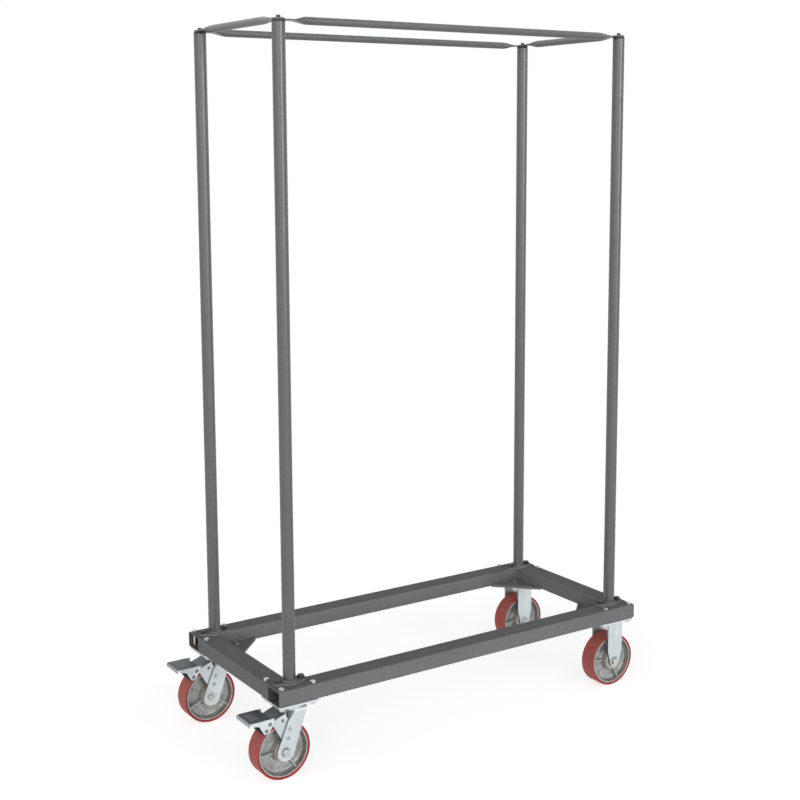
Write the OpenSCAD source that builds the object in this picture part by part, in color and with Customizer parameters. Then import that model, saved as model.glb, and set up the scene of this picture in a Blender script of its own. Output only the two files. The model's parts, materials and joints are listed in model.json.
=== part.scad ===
// Stacking trolley: a base of welded hollow rails on two braked swivel casters and two fixed
// casters, with four corner posts that a bolted top frame ties together.
// The floor is Z = 0, X runs along the length and the swivel casters are at the low end of X.

/* [Base frame] */
// Length of the base frame
base_l = 1170; // [1000:5:1400]
// Width of the base frame
base_w = 520; // [460:5:640]
// Width of a base rail
rail_w = 60; // [52:1:70]
// Height of a base rail
rail_h = 40; // [30:1:55]
// Wall of a base rail
rail_wall = 3; // [2:0.5:4]
// Outside corner radius of a base rail
rail_outer_r = 4; // [2:0.5:6]
// Inside corner radius of a base rail
rail_inner_r = 1.5; // [1:0.5:3]
// Leg of a corner gusset
gusset_leg = 118; // [100:1:150]
// Thickness of a corner gusset
gusset_t = 8; // [5:0.5:12]

/* [Posts] */
// Distance from a post's axis to the end of the base
post_inset = 55; // [48:1:80]
// Outside diameter of a post
post_d = 32; // [28:1:40]
// Wall of a post
post_wall = 2; // [1.5:0.5:3]
// Length of a post above its flange
post_l = 1604; // [1000:4:1800]
// Distance between the two bolts of a post flange
flange_pitch = 65; // [60:1:80]
// Width of a post flange across its middle
flange_w = 50; // [44:1:60]
// Radius of a post flange round each bolt
flange_end_r = 13; // [11:0.5:16]
// Thickness of a post flange
flange_t = 6; // [4:0.5:8]
// Leg of the weld round the foot of a post
weld_leg = 4; // [2:0.5:5]
// Diameter of a flange bolt
flange_bolt_d = 8; // [6:1:10]
// Size across the flats of a flange bolt and its nut
flange_bolt_af = 13; // [12:0.5:16]
// Height of a flange bolt's head
flange_head_h = 5.3; // [4:0.1:7]
// Height of a flange nut
flange_nut_h = 6.5; // [5:0.1:8]

/* [Top frame] */
// Diameter of a top rail
top_tube_d = 19; // [16:0.5:25]
// Wall of a top rail
top_tube_wall = 1.5; // [1:0.25:2]
// Width of a top rail's flattened end
tongue_w = 30; // [26:0.5:38]
// Thickness of a top rail's flattened end
tongue_t = 3; // [2:0.25:4]
// Flat length from the hole of a flattened end to where the tube begins to open
tongue_flat = 35; // [20:1:50]
// Length over which the flattened end opens into the round tube
tongue_taper = 40; // [25:1:60]
// Thickness of a post plug's head
plug_head_t = 3; // [2:0.5:5]
// Length of a post plug inside its post
plug_l = 25; // [20:1:40]
// Diameter of a top screw
top_screw_d = 6; // [5:0.5:8]
// Length of a top screw in its plug
top_screw_l = 18; // [12:1:20]
// Diameter of a top screw's head
top_head_d = 10; // [9:0.5:13]
// Height of a top screw's head
top_head_h = 6; // [4:0.5:8]
// Width across the flats of the socket in a top screw
top_socket_af = 5; // [3:0.5:6]
// Depth of the socket in a top screw
top_socket_h = 3; // [2:0.5:4]

/* [Caster plates] */
// Length of a caster plate
plate_l = 114; // [105:1:130]
// Width of a caster plate
plate_w = 102; // [95:1:115]
// Thickness of a caster plate
plate_t = 6; // [4:0.5:8]
// Corner radius of a caster plate
plate_corner_r = 10; // [4:1:14]
// Distance between caster bolts along the base
bolt_pitch_x = 89; // [85:1:95]
// Distance between caster bolts across the base
bolt_pitch_y = 78; // [74:1:82]
// Diameter of a caster bolt
caster_bolt_d = 8; // [6:1:10]
// Size across the flats of a caster bolt and its nut
caster_bolt_af = 13; // [12:0.5:16]
// Height of a caster bolt's head
caster_head_h = 5.5; // [4:0.1:8]
// Height of a caster nut
caster_nut_h = 6.5; // [5:0.5:9]
// Thread that stands out of each nut
bolt_tail = 2.5; // [1:0.5:3]

/* [Wheels] */
// Diameter of a wheel
wheel_d = 150; // [125:1:200]
// Width of a wheel
wheel_w = 50; // [40:1:54]
// Thickness of the tread
tread_t = 9; // [6:0.5:12]
// Bevel of the tread's edges
tread_edge = 4; // [2:0.5:6]
// Thickness of the core's rim
rim_t = 7; // [5:0.5:10]
// Distance of the rim's sides inside the tread's sides
rim_setback = 2; // [1:0.5:4]
// Thickness of the core's web
web_t = 12; // [8:0.5:18]
// Diameter of the core's hub
hub_d = 54; // [46:1:62]
// Draft of the hub and of the rim's inside
core_draft = 2.5; // [1:0.5:4]
// Number of ribs on each side of the web
rib_n = 3; // [3:1:8]
// Direction of the first rib seen from the axle, in degrees
rib_turn = 65; // [0:1:120]
// Thickness of a rib
rib_t = 9; // [6:0.5:14]
// Distance of a rib's edge inside the rim's side
rib_setback = 5; // [2:0.5:8]
// Outside diameter of a wheel bearing
bearing_d = 34; // [30:1:40]
// Width of a wheel bearing
bearing_w = 14; // [10:0.5:18]
// Outside diameter of the axle sleeve
sleeve_d = 20; // [17:0.5:24]
// Diameter of the axle bolt
axle_d = 12; // [10:0.5:14]
// Size across the flats of the axle bolt and its nut
axle_af = 19; // [17:0.5:22]
// Height of the axle bolt's head
axle_head_h = 7.5; // [6:0.5:9]
// Height of the axle nut
axle_nut_h = 10; // [8:0.5:11]

/* [Forks] */
// Space between the legs of a fork
fork_gap = 60; // [56:1:66]
// Thickness of a fork's legs
leg_t = 5; // [4:0.5:6]
// Thickness of a fork's crown
crown_t = 5; // [4.5:0.5:8]
// Space between the tread and the crown of a swivel fork
tread_gap = 29; // [25:1:45]
// Distance from the swivel axis back to a swivel leg's edge at the crown
leg_back = 10; // [6:1:14]
// Distance from the swivel axis forward to a swivel leg's edge at the crown
leg_front = 31; // [27:1:34]
// Radius of a swivel fork's legs round the axle
swivel_tip_r = 24; // [18:0.5:26]
// Width of a fixed fork's legs
fixed_leg_w = 52; // [44:1:58]
// Height above the axle where a fixed fork's legs begin to narrow
fixed_knee_h = 32; // [24:1:45]
// Radius of a fixed fork's legs round the axle
fixed_tip_r = 17; // [14:0.5:20]
// Distance from the swivel axis back to the axle
trail = 32; // [20:1:40]

/* [Swivel head] */
// Diameter of the raceway under a swivel plate
race_d = 66; // [62:1:80]
// Height of the raceway under a swivel plate
race_h = 7; // [6:0.5:10]
// Gap between the raceway and the crown
race_gap = 3; // [2:0.5:4]
// Diameter of a ball
ball_d = 8; // [7:0.5:9]
// Diameter of the circle that the balls run on
ball_circle_d = 46; // [42:1:49]
// Diameter of a king pin
king_d = 14; // [12:0.5:16]
// Diameter of a king pin's formed head
king_head_d = 26; // [20:1:32]
// Height of a king pin's formed head
king_head_h = 8; // [5:0.5:12]

/* [Brake] */
// Sheet thickness of the brake bracket
bracket_t = 2.5; // [2:0.25:3]
// Radius of the bracket round the pedal's pivot
bracket_lobe_r = 9; // [7:0.5:10]
// Radius of the bracket round its lowest rivet
bracket_foot_r = 7; // [6:0.5:8]
// Distance of the pedal's pivot from the tread
pivot_lift = 19; // [16:0.5:24]
// Direction of the pedal's pivot seen from the axle, in degrees
pivot_angle = 117.5; // [112:0.5:122]
// Diameter of the pivot pin
pivot_pin_d = 8; // [6:0.5:9]
// Distance of the shoe's pin from the tread
shoe_pin_lift = 11.5; // [9:0.5:13]
// Direction of the shoe's pin seen from the axle, in degrees
shoe_pin_angle = 128; // [126:0.5:132]
// Diameter of the shoe's pin
shoe_pin_d = 6; // [4:0.5:7]
// Sheet thickness of the pedal
pedal_t = 2.5; // [2:0.25:3]
// Space between the bracket and each cheek of the pedal
cheek_gap = 3; // [2:0.5:6]
// Reach of the pedal's pad outwards from the pivot
pad_reach = 57; // [45:1:75]
// Reach of the pedal's pad inwards from the pivot
pad_lead = 3; // [0:0.5:5]
// Drop of the lip at the pad's outer edge
lip_h = 7; // [4:0.5:12]
// Radius of the pedal's cheeks round the pivot
cheek_pivot_r = 13; // [10:0.5:14]
// Radius of the pedal's cheeks round the shoe's pin
cheek_shoe_r = 8; // [6:0.5:10]
// Turn of the pedal from free to locked, in degrees
pedal_turn = 9; // [7:0.5:14]
// Width of the brake shoe
shoe_w = 44; // [30:1:50]
// Thickness of the brake shoe
shoe_t = 15; // [14:0.5:18]
// Diameter of a bracket rivet
rivet_d = 6; // [4:0.5:7]
// Diameter of a bracket rivet's head
rivet_head_d = 11; // [8:0.5:12]
// Height of a rivet's or pin's head
rivet_head_h = 2.5; // [1.5:0.25:3]

/* [Hidden] */
$fn = 64;

// Gaps: round fits, running fits, moving faces, bolts in their holes, the locked shoe, nuts in
// their rails, plugs in their posts, and hubs between their legs
fit_gap = 0.03;
run_gap = 0.05;
move_gap = 0.3;
hole_gap = 0.5;
lock_gap = 0.4;
nut_gap = 0.3;
plug_gap = 0.15;
hub_gap = 1;

// Overrun of every cut, and how far a straight side meets a round inside its edge
over = 1;
round_inset = 0.1;

// Slice that starts a tube's flattening, and its step below the tube's own surface
slice_t = 1;
slice_step = 0.3;

// Heights of the casters and the base
wheel_r = wheel_d / 2;
crown_z = wheel_d + tread_gap;
crown_top_z = crown_z + crown_t;
race_z = crown_top_z + race_gap;
plate_z = race_z + race_h;
rail_z = plate_z + plate_t;
deck_z = rail_z + rail_h;

// Places of the casters, the posts and the top frame
caster_x = (base_l - plate_l) / 2;
caster_y = (base_w - plate_w) / 2;
post_x = base_l / 2 - post_inset;
post_y = base_w / 2 - rail_w + rail_wall + rail_inner_r + flange_bolt_af / 2 + nut_gap;
post_z = deck_z + flange_t;
plug_z = post_z + post_l;
long_tongue_z = plug_z + plug_head_t;
short_tongue_z = long_tongue_z + tongue_t;
screw_z = short_tongue_z + tongue_t;

// Side view of a swivel caster, measured from its swivel axis
axle = [-trail, wheel_r];
pivot = axle + (wheel_r + pivot_lift) * [cos(pivot_angle), sin(pivot_angle)];
shoe_pin = axle + (wheel_r + shoe_pin_lift) * [cos(shoe_pin_angle), sin(shoe_pin_angle)];
leg_corner = [-leg_back, crown_top_z];
rivet_shares = [0.325, 0.53];
rivets = [for (share = rivet_shares) axle + share * (leg_corner - axle)];
bracket_lead = 14;
bracket_rise = 4;
bracket_clear = 20;
bracket_drop = 5;
bracket_tip_l = 15;
bracket_back = pivot + [bracket_lead, bracket_rise];
bracket_front = [-leg_back - bracket_clear, crown_z - bracket_drop];
bracket_tip = rivets[0] - [bracket_tip_l, 0];
stop_rivet_lead = 8;
stop_rivet_drop = 11;
stop_rivet = (bracket_back + bracket_front) / 2 + [stop_rivet_lead, -stop_rivet_drop];

// Layers of a caster from its middle outwards
leg_y = fork_gap / 2;
fork_y = leg_y + leg_t;
bracket_y = leg_y - bracket_t;
cheek_y = leg_y + cheek_gap;
pedal_half_w = cheek_y + pedal_t;
hub_l = fork_gap - 2 * hub_gap;

// Pedal pad, and the shoe's place when the brake is locked
pad_gap = 2.5;
pad_z = pivot[1] + bracket_lobe_r + pad_gap;
pad_top_z = pad_z + pedal_t;
pad_back_x = pivot[0] - pad_reach;
cheek_setback = 10;
cheek_nose_h = 6;
locked_pin = pivot + turned(shoe_pin - pivot, pedal_turn);
locked_angle = atan2(locked_pin[1] - axle[1], locked_pin[0] - axle[0]);
shoe_before = 6;
shoe_after = 8;

// The origin is under the middle of the whole trolley, pedals and wheels included
left_reach = caster_x - pad_back_x;
right_reach = max(base_l / 2, caster_x + wheel_r);
middle_x = (right_reach - left_reach) / 2;

ball_space = 1;
ball_n = floor(PI * ball_circle_d / (ball_d + ball_space));

coat = "#5d5e60";
zinc = "#b9bdc2";
bright = "#d0cdc4";
black = "#26272a";
cast = "#8e9194";
red = "#a83a36";
dark = "#3a3b3d";

FRAME_NODES = ["front_side_rail", "rear_side_rail", "left_end_rail", "right_end_rail",
    "corner_gussets", "front_left_post", "front_right_post", "rear_left_post", "rear_right_post",
    "post_flanges", "flange_bolts", "flange_nuts", "post_plugs", "front_top_rail", "rear_top_rail",
    "left_top_rail", "right_top_rail", "top_screws", "caster_bolts", "caster_nuts"];
FIXED_NODES = ["fixed_plates", "fixed_forks", "fixed_axle_bolts", "fixed_axle_nuts",
    "fixed_axle_sleeves", "front_fixed_core", "front_fixed_tread", "front_fixed_bearings",
    "rear_fixed_core", "rear_fixed_tread", "rear_fixed_bearings"];
SWIVEL_NODES = ["swivel_plates", "king_pins",
    "front_swivel_balls", "front_swivel_fork", "front_swivel_axle_bolt", "front_swivel_axle_nut",
    "front_swivel_axle_sleeve", "front_swivel_core", "front_swivel_tread", "front_swivel_bearings",
    "rear_swivel_balls", "rear_swivel_fork", "rear_swivel_axle_bolt", "rear_swivel_axle_nut",
    "rear_swivel_axle_sleeve", "rear_swivel_core", "rear_swivel_tread", "rear_swivel_bearings"];
BRAKE_NODES = ["front_brake_bracket", "front_bracket_rivets", "front_brake_pedal",
    "front_brake_pins", "front_brake_shoe", "rear_brake_bracket", "rear_bracket_rivets",
    "rear_brake_pedal", "rear_brake_pins", "rear_brake_shoe"];

// Outlines and shapes that repeat

// A vector turned by an angle in its plane
function turned(v, a) = [v[0] * cos(a) - v[1] * sin(a), v[0] * sin(a) + v[1] * cos(a)];

// Where a line from point p touches the circle round c, on the side given by 1 or -1
function touch(p, c, r, side) =
    let (v = p - c, a = atan2(v[1], v[0]) + side * acos(r / norm(v)))
    c + r * [cos(a), sin(a)];

module rounded_rect(size, r) {
    square([size[0] - 2 * r, size[1]], center = true);
    square([size[0], size[1] - 2 * r], center = true);
    for (x = [-1, 1], y = [-1, 1])
        translate([x * (size[0] / 2 - r), y * (size[1] / 2 - r)]) circle(r);
}

// Two rounds of different radius, joined by straight sides
module link(from, to, r1, r2) {
    d = norm(to - from);
    a = acos((r1 - r2) / d);
    s1 = r1 - round_inset;
    s2 = r2 - round_inset;
    translate(from) circle(r1);
    translate(to) circle(r2);
    translate(from) rotate(atan2(to[1] - from[1], to[0] - from[0]))
        polygon([[s1 * cos(a), s1 * sin(a)], [s1 * cos(a), -s1 * sin(a)],
            [d + s2 * cos(a), -s2 * sin(a)], [d + s2 * cos(a), s2 * sin(a)]]);
}

// An upright sheet: the side view in X and Z, with its near face at y
module sheet(y, t) {
    translate([0, y + t, 0]) rotate([90, 0, 0]) linear_extrude(t) children();
}

// A pair of upright sheets, one on each side of the middle
module sheet_pair(y, t) {
    sheet(y, t) children();
    mirror([0, 1, 0]) sheet(y, t) children();
}

// A round bar along Y at a point of the side view
module cross_bar(at, r, y, l) {
    translate([at[0], y + l, at[1]]) rotate([90, 0, 0]) cylinder(r = r, h = l);
}

module hex_bar(af, h) {
    cylinder(d = af / cos(30), h = h, $fn = 6);
}

// A hexagon bolt: the head stands on the origin and the shank hangs below
module hex_bolt(d, af, head_h, l) {
    hex_bar(af, head_h);
    translate([0, 0, -l]) cylinder(d = d, h = l + head_h / 2);
}

module hex_nut(d, af, h) {
    difference() {
        hex_bar(af, h);
        translate([0, 0, -over]) cylinder(d = d + 2 * fit_gap, h = h + 2 * over);
    }
}

// Places

// From the middle of the base to the part's own origin
module base() {
    translate([-middle_x, 0, 0]) children();
}

// All four corners, with the children drawn at the corner of high X and high Y
module each_corner() {
    for (x = [0, 1], y = [0, 1])
        mirror([x, 0, 0]) mirror([0, y, 0]) children();
}

// One caster, end -1 at the swivel end and side -1 at the front
module caster(end, side) {
    base() translate([end * caster_x, side * caster_y, 0]) children();
}

module each_side() {
    for (side = [-1, 1]) mirror([0, side < 0 ? 1 : 0, 0]) children();
}

// Base frame

module rail_section() {
    difference() {
        rounded_rect([rail_w, rail_h], rail_outer_r);
        rounded_rect([rail_w - 2 * rail_wall, rail_h - 2 * rail_wall], rail_inner_r);
    }
}

module caster_bolt_places() {
    for (x = [-1, 1], y = [-1, 1])
        translate([caster_x + x * bolt_pitch_x / 2, caster_y + y * bolt_pitch_y / 2, 0])
            children();
}

module flange_bolt_places() {
    for (x = [-1, 1]) translate([post_x + x * flange_pitch / 2, post_y, 0]) children();
}

// Holes for the caster bolts, right through the rails and gussets
module caster_bolt_holes() {
    each_corner() caster_bolt_places()
        translate([0, 0, plate_z - over])
            cylinder(r = caster_bolt_d / 2 + hole_gap, h = deck_z - plate_z + 2 * over);
}

// Holes for the flange bolts, through the flanges and the upper wall of the side rails
module flange_bolt_holes() {
    each_corner() flange_bolt_places()
        translate([0, 0, deck_z - rail_wall - over])
            cylinder(r = flange_bolt_d / 2 + hole_gap, h = rail_wall + flange_t + 2 * over);
}

module side_rail(side) {
    color(coat) base() difference() {
        translate([0, side * (base_w - rail_w) / 2, rail_z + rail_h / 2])
            rotate([90, 0, 90]) linear_extrude(base_l, center = true) rail_section();
        caster_bolt_holes();
        flange_bolt_holes();
    }
}

module end_rail(end) {
    color(coat) base() difference() {
        translate([end * (base_l - rail_w) / 2, 0, rail_z + rail_h / 2])
            rotate([90, 0, 0]) linear_extrude(base_w - 2 * rail_w, center = true) rail_section();
        caster_bolt_holes();
    }
}

module front_side_rail() { side_rail(-1); }
module rear_side_rail() { side_rail(1); }
module left_end_rail() { end_rail(-1); }
module right_end_rail() { end_rail(1); }

module corner_gussets() {
    inner = [base_l / 2 - rail_w, base_w / 2 - rail_w];
    color(coat) base() difference() {
        each_corner() translate([0, 0, rail_z]) linear_extrude(gusset_t)
            polygon([inner, inner - [gusset_leg, 0], inner - [0, gusset_leg]]);
        caster_bolt_holes();
    }
}

// Posts

module post(end, side) {
    color(coat) base() translate([end * post_x, side * post_y, post_z]) difference() {
        cylinder(d = post_d, h = post_l);
        translate([0, 0, -over]) cylinder(d = post_d - 2 * post_wall, h = post_l + 2 * over);
    }
}

module front_left_post() { post(-1, -1); }
module front_right_post() { post(1, -1); }
module rear_left_post() { post(-1, 1); }
module rear_right_post() { post(1, 1); }

// A lozenge plate on the deck, with the weld that holds the post on it
module post_flanges() {
    weld_r = post_d / 2 + fit_gap;
    color(coat) base() difference() {
        each_corner() translate([post_x, post_y, 0]) {
            translate([0, 0, deck_z]) linear_extrude(flange_t) for (x = [-1, 1])
                link([0, 0], [x * flange_pitch / 2, 0], flange_w / 2, flange_end_r);
            translate([0, 0, post_z]) rotate_extrude()
                polygon([[weld_r, 0], [weld_r + weld_leg, 0], [weld_r, weld_leg]]);
        }
        flange_bolt_holes();
    }
}

module flange_bolts() {
    color(black) base() each_corner() flange_bolt_places() translate([0, 0, post_z])
        hex_bolt(flange_bolt_d, flange_bolt_af, flange_head_h,
            flange_t + rail_wall + flange_nut_h + bolt_tail);
}

module flange_nuts() {
    color(zinc) base() each_corner() flange_bolt_places()
        translate([0, 0, deck_z - rail_wall - flange_nut_h])
            hex_nut(flange_bolt_d, flange_bolt_af, flange_nut_h);
}

module post_plugs() {
    color(black) base() each_corner() translate([post_x, post_y, plug_z]) difference() {
        union() {
            translate([0, 0, -plug_l])
                cylinder(r = post_d / 2 - post_wall - plug_gap, h = plug_l + plug_head_t / 2);
            cylinder(d = post_d, h = plug_head_t);
        }
        translate([0, 0, -plug_l - over])
            cylinder(r = top_screw_d / 2 + fit_gap, h = plug_l + plug_head_t + 2 * over);
    }
}

// Top frame

// Half a top rail from its middle to a flattened end, along X, with its axis at Z = 0
module top_rail_half(reach) {
    tube_l = reach - tongue_flat - tongue_taper;
    rotate([0, 90, 0]) difference() {
        cylinder(d = top_tube_d, h = tube_l);
        translate([0, 0, -over])
            cylinder(d = top_tube_d - 2 * top_tube_wall, h = tube_l - slice_t + over);
    }
    hull() {
        translate([tube_l - slice_t, 0, 0]) rotate([0, 90, 0])
            cylinder(d = top_tube_d - 2 * slice_step, h = slice_t, $fn = 32);
        translate([reach - tongue_flat, 0, 0]) cube([slice_t, tongue_w, tongue_t], center = true);
    }
    difference() {
        union() {
            translate([reach - tongue_flat, -tongue_w / 2, -tongue_t / 2])
                cube([tongue_flat, tongue_w, tongue_t]);
            translate([reach, 0, -tongue_t / 2]) cylinder(d = tongue_w, h = tongue_t);
        }
        translate([reach, 0, -tongue_t])
            cylinder(r = top_screw_d / 2 + hole_gap, h = 2 * tongue_t);
    }
}

module top_rail(reach) {
    top_rail_half(reach);
    mirror([1, 0, 0]) top_rail_half(reach);
}

module long_top_rail(side) {
    color(coat) base() translate([0, side * post_y, long_tongue_z + tongue_t / 2])
        top_rail(post_x);
}

module short_top_rail(end) {
    color(coat) base() translate([end * post_x, 0, short_tongue_z + tongue_t / 2])
        rotate(90) top_rail(post_y);
}

module front_top_rail() { long_top_rail(-1); }
module rear_top_rail() { long_top_rail(1); }
module left_top_rail() { short_top_rail(-1); }
module right_top_rail() { short_top_rail(1); }

module top_screws() {
    grip = screw_z - plug_z + top_screw_l;
    color(black) base() each_corner() translate([post_x, post_y, screw_z]) difference() {
        union() {
            cylinder(d = top_head_d, h = top_head_h);
            translate([0, 0, -grip]) cylinder(d = top_screw_d, h = grip + top_head_h / 2);
        }
        translate([0, 0, top_head_h - top_socket_h]) hex_bar(top_socket_af, top_socket_h + over);
    }
}

// Caster fasteners

// The inmost bolt of each corner stands on its gusset, the other three on the rails
function on_gusset(x, y) = x < 0 && y < 0;

module caster_bolts() {
    color(bright) base() each_corner() for (x = [-1, 1], y = [-1, 1]) {
        seat_z = on_gusset(x, y) ? rail_z + gusset_t : deck_z;
        translate([caster_x + x * bolt_pitch_x / 2, caster_y + y * bolt_pitch_y / 2, seat_z])
            hex_bolt(caster_bolt_d, caster_bolt_af, caster_head_h,
                seat_z - plate_z + caster_nut_h + bolt_tail);
    }
}

module caster_nuts() {
    color(bright) base() each_corner() caster_bolt_places()
        translate([0, 0, plate_z - caster_nut_h])
            hex_nut(caster_bolt_d, caster_bolt_af, caster_nut_h);
}

module plate_holes() {
    for (x = [-1, 1], y = [-1, 1])
        translate([x * bolt_pitch_x / 2, y * bolt_pitch_y / 2, plate_z - over])
            cylinder(r = caster_bolt_d / 2 + hole_gap, h = plate_t + 2 * over);
}

// Wheels, drawn round the axle at the caster's own middle

module round_axle(at) {
    translate([at[0], 0, at[1]]) rotate([90, 0, 0]) children();
}

module wheel_core(at) {
    outer_r = wheel_r - tread_t;
    inner_r = outer_r - rim_t;
    rim_y = wheel_w / 2 - rim_setback;
    rib_y = rim_y - rib_setback;
    hub_r = hub_d / 2;
    bore_r = bearing_d / 2 + fit_gap;
    half = [[bore_r, hub_l / 2], [hub_r, hub_l / 2], [hub_r + core_draft, web_t / 2],
        [inner_r - core_draft, web_t / 2], [inner_r, rim_y], [outer_r, rim_y]];
    other = [for (i = [len(half) - 1:-1:0]) [half[i][0], -half[i][1]]];
    color(cast) round_axle(at) {
        rotate_extrude() polygon(concat(half, other));
        for (i = [0:rib_n - 1]) rotate(rib_turn + i * 360 / rib_n)
            translate([hub_r - core_draft, -rib_t / 2, -rib_y])
                cube([inner_r - hub_r + 2 * core_draft, rib_t, 2 * rib_y]);
    }
}

module wheel_tread(at) {
    inner_r = wheel_r - tread_t;
    side_y = wheel_w / 2;
    color(red) round_axle(at) rotate_extrude()
        polygon([[inner_r, -side_y + rim_setback], [inner_r + rim_setback, -side_y],
            [wheel_r - tread_edge, -side_y], [wheel_r, -side_y + tread_edge],
            [wheel_r, side_y - tread_edge], [wheel_r - tread_edge, side_y],
            [inner_r + rim_setback, side_y], [inner_r, side_y - rim_setback]]);
}

module wheel_bearings(at) {
    color(zinc) each_side() round_axle(at) translate([0, 0, hub_l / 2 - bearing_w]) difference() {
        cylinder(d = bearing_d, h = bearing_w);
        translate([0, 0, -over])
            cylinder(r = sleeve_d / 2 + run_gap, h = bearing_w + 2 * over);
    }
}

module axle_sleeve(at) {
    color(zinc) round_axle(at) difference() {
        cylinder(d = sleeve_d, h = fork_gap, center = true);
        cylinder(r = axle_d / 2 + fit_gap, h = fork_gap + 2 * over, center = true);
    }
}

// The head is on the outer side of the trolley
module axle_bolt(at) {
    color(bright) round_axle(at) translate([0, 0, fork_y])
        hex_bolt(axle_d, axle_af, axle_head_h, 2 * fork_y + axle_nut_h + bolt_tail);
}

module axle_nut(at) {
    color(bright) round_axle(at) translate([0, 0, -fork_y - axle_nut_h])
        hex_nut(axle_d, axle_af, axle_nut_h);
}

// A pair of legs that narrow to a round foot at the axle, under an outline from back to front
module fork_legs(at, tip_r, outline) {
    side_r = tip_r - round_inset;
    first = outline[0];
    last = outline[len(outline) - 1];
    sheet_pair(leg_y, leg_t) {
        polygon(concat(outline, [touch(last, at, side_r, -1), touch(first, at, side_r, 1)]));
        translate(at) circle(tip_r);
    }
}

// The axle's hole in both legs
module axle_hole(at) {
    cross_bar(at, axle_d / 2 + fit_gap, -fork_y - over, 2 * (fork_y + over));
}

// Fixed casters

fixed_axle = [0, wheel_r];

module each_fixed_caster() {
    for (side = [-1, 1]) caster(1, side) mirror([0, side > 0 ? 1 : 0, 0]) children();
}

module fixed_plates() {
    color(zinc) each_fixed_caster() difference() {
        translate([0, 0, plate_z]) linear_extrude(plate_t)
            rounded_rect([plate_l, plate_w], plate_corner_r);
        plate_holes();
    }
}

module fixed_forks() {
    knee_z = wheel_r + fixed_knee_h;
    half_w = fixed_leg_w / 2;
    color(zinc) each_fixed_caster() difference() {
        union() {
            translate([-half_w, -fork_y, plate_z - crown_t])
                cube([fixed_leg_w, 2 * fork_y, crown_t]);
            fork_legs(fixed_axle, fixed_tip_r,
                [[-half_w, knee_z], [-half_w, plate_z], [half_w, plate_z], [half_w, knee_z]]);
        }
        axle_hole(fixed_axle);
    }
}

module fixed_axle_bolts() { each_fixed_caster() axle_bolt(fixed_axle); }
module fixed_axle_nuts() { each_fixed_caster() axle_nut(fixed_axle); }
module fixed_axle_sleeves() { each_fixed_caster() axle_sleeve(fixed_axle); }

module front_fixed_core() { caster(1, -1) wheel_core(fixed_axle); }
module front_fixed_tread() { caster(1, -1) wheel_tread(fixed_axle); }
module front_fixed_bearings() { caster(1, -1) wheel_bearings(fixed_axle); }
module rear_fixed_core() { caster(1, 1) wheel_core(fixed_axle); }
module rear_fixed_tread() { caster(1, 1) wheel_tread(fixed_axle); }
module rear_fixed_bearings() { caster(1, 1) wheel_bearings(fixed_axle); }

// Swivel casters

// One swivel caster, turned over so that its outer side faces out of the trolley
module swivel(side) {
    caster(-1, side) mirror([0, side > 0 ? 1 : 0, 0]) children();
}

module each_swivel() {
    for (side = [-1, 1]) swivel(side) children();
}

// The groove that the balls run in
module ball_groove() {
    translate([0, 0, crown_top_z + race_gap / 2]) rotate_extrude()
        translate([ball_circle_d / 2, 0]) circle(ball_d / 2 + move_gap);
}

// The plate with its raceway, pressed from one sheet
module swivel_plates() {
    color(zinc) each_swivel() difference() {
        union() {
            translate([0, 0, plate_z]) linear_extrude(plate_t)
                rounded_rect([plate_l, plate_w], plate_corner_r);
            translate([0, 0, race_z]) cylinder(d = race_d, h = race_h + plate_t / 2);
        }
        plate_holes();
        ball_groove();
        translate([0, 0, race_z - over])
            cylinder(r = king_d / 2 + fit_gap, h = race_h + plate_t + 2 * over);
    }
}

// The pin is held in the plate, and its formed head carries the crown
module king_pins() {
    head_top = crown_z - move_gap;
    color(zinc) each_swivel() {
        translate([0, 0, head_top - king_head_h]) cylinder(d = king_head_d, h = king_head_h);
        translate([0, 0, head_top - king_head_h / 2])
            cylinder(d = king_d, h = rail_z - head_top + king_head_h / 2);
    }
}

module swivel_balls(side) {
    color(zinc) swivel(side) for (i = [0:ball_n - 1]) rotate(i * 360 / ball_n)
        translate([ball_circle_d / 2, 0, crown_top_z + race_gap / 2]) sphere(d = ball_d);
}

module swivel_fork(side) {
    color(zinc) swivel(side) difference() {
        union() {
            translate([0, 0, crown_z]) cylinder(r = fork_y, h = crown_t);
            translate([-leg_back, -fork_y, crown_z])
                cube([leg_back + leg_front, 2 * fork_y, crown_t]);
            fork_legs(axle, swivel_tip_r, [leg_corner, [leg_front, crown_top_z]]);
        }
        axle_hole(axle);
        ball_groove();
        translate([0, 0, crown_z - over])
            cylinder(r = king_d / 2 + run_gap, h = crown_t + 2 * over);
        for (at = rivets)
            cross_bar(at, rivet_d / 2 + fit_gap, -fork_y - over, 2 * (fork_y + over));
    }
}

module front_swivel_balls() { swivel_balls(-1); }
module front_swivel_fork() { swivel_fork(-1); }
module front_swivel_axle_bolt() { swivel(-1) axle_bolt(axle); }
module front_swivel_axle_nut() { swivel(-1) axle_nut(axle); }
module front_swivel_axle_sleeve() { swivel(-1) axle_sleeve(axle); }
module front_swivel_core() { swivel(-1) wheel_core(axle); }
module front_swivel_tread() { swivel(-1) wheel_tread(axle); }
module front_swivel_bearings() { swivel(-1) wheel_bearings(axle); }
module rear_swivel_balls() { swivel_balls(1); }
module rear_swivel_fork() { swivel_fork(1); }
module rear_swivel_axle_bolt() { swivel(1) axle_bolt(axle); }
module rear_swivel_axle_nut() { swivel(1) axle_nut(axle); }
module rear_swivel_axle_sleeve() { swivel(1) axle_sleeve(axle); }
module rear_swivel_core() { swivel(1) wheel_core(axle); }
module rear_swivel_tread() { swivel(1) wheel_tread(axle); }
module rear_swivel_bearings() { swivel(1) wheel_bearings(axle); }

// Brakes

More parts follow.
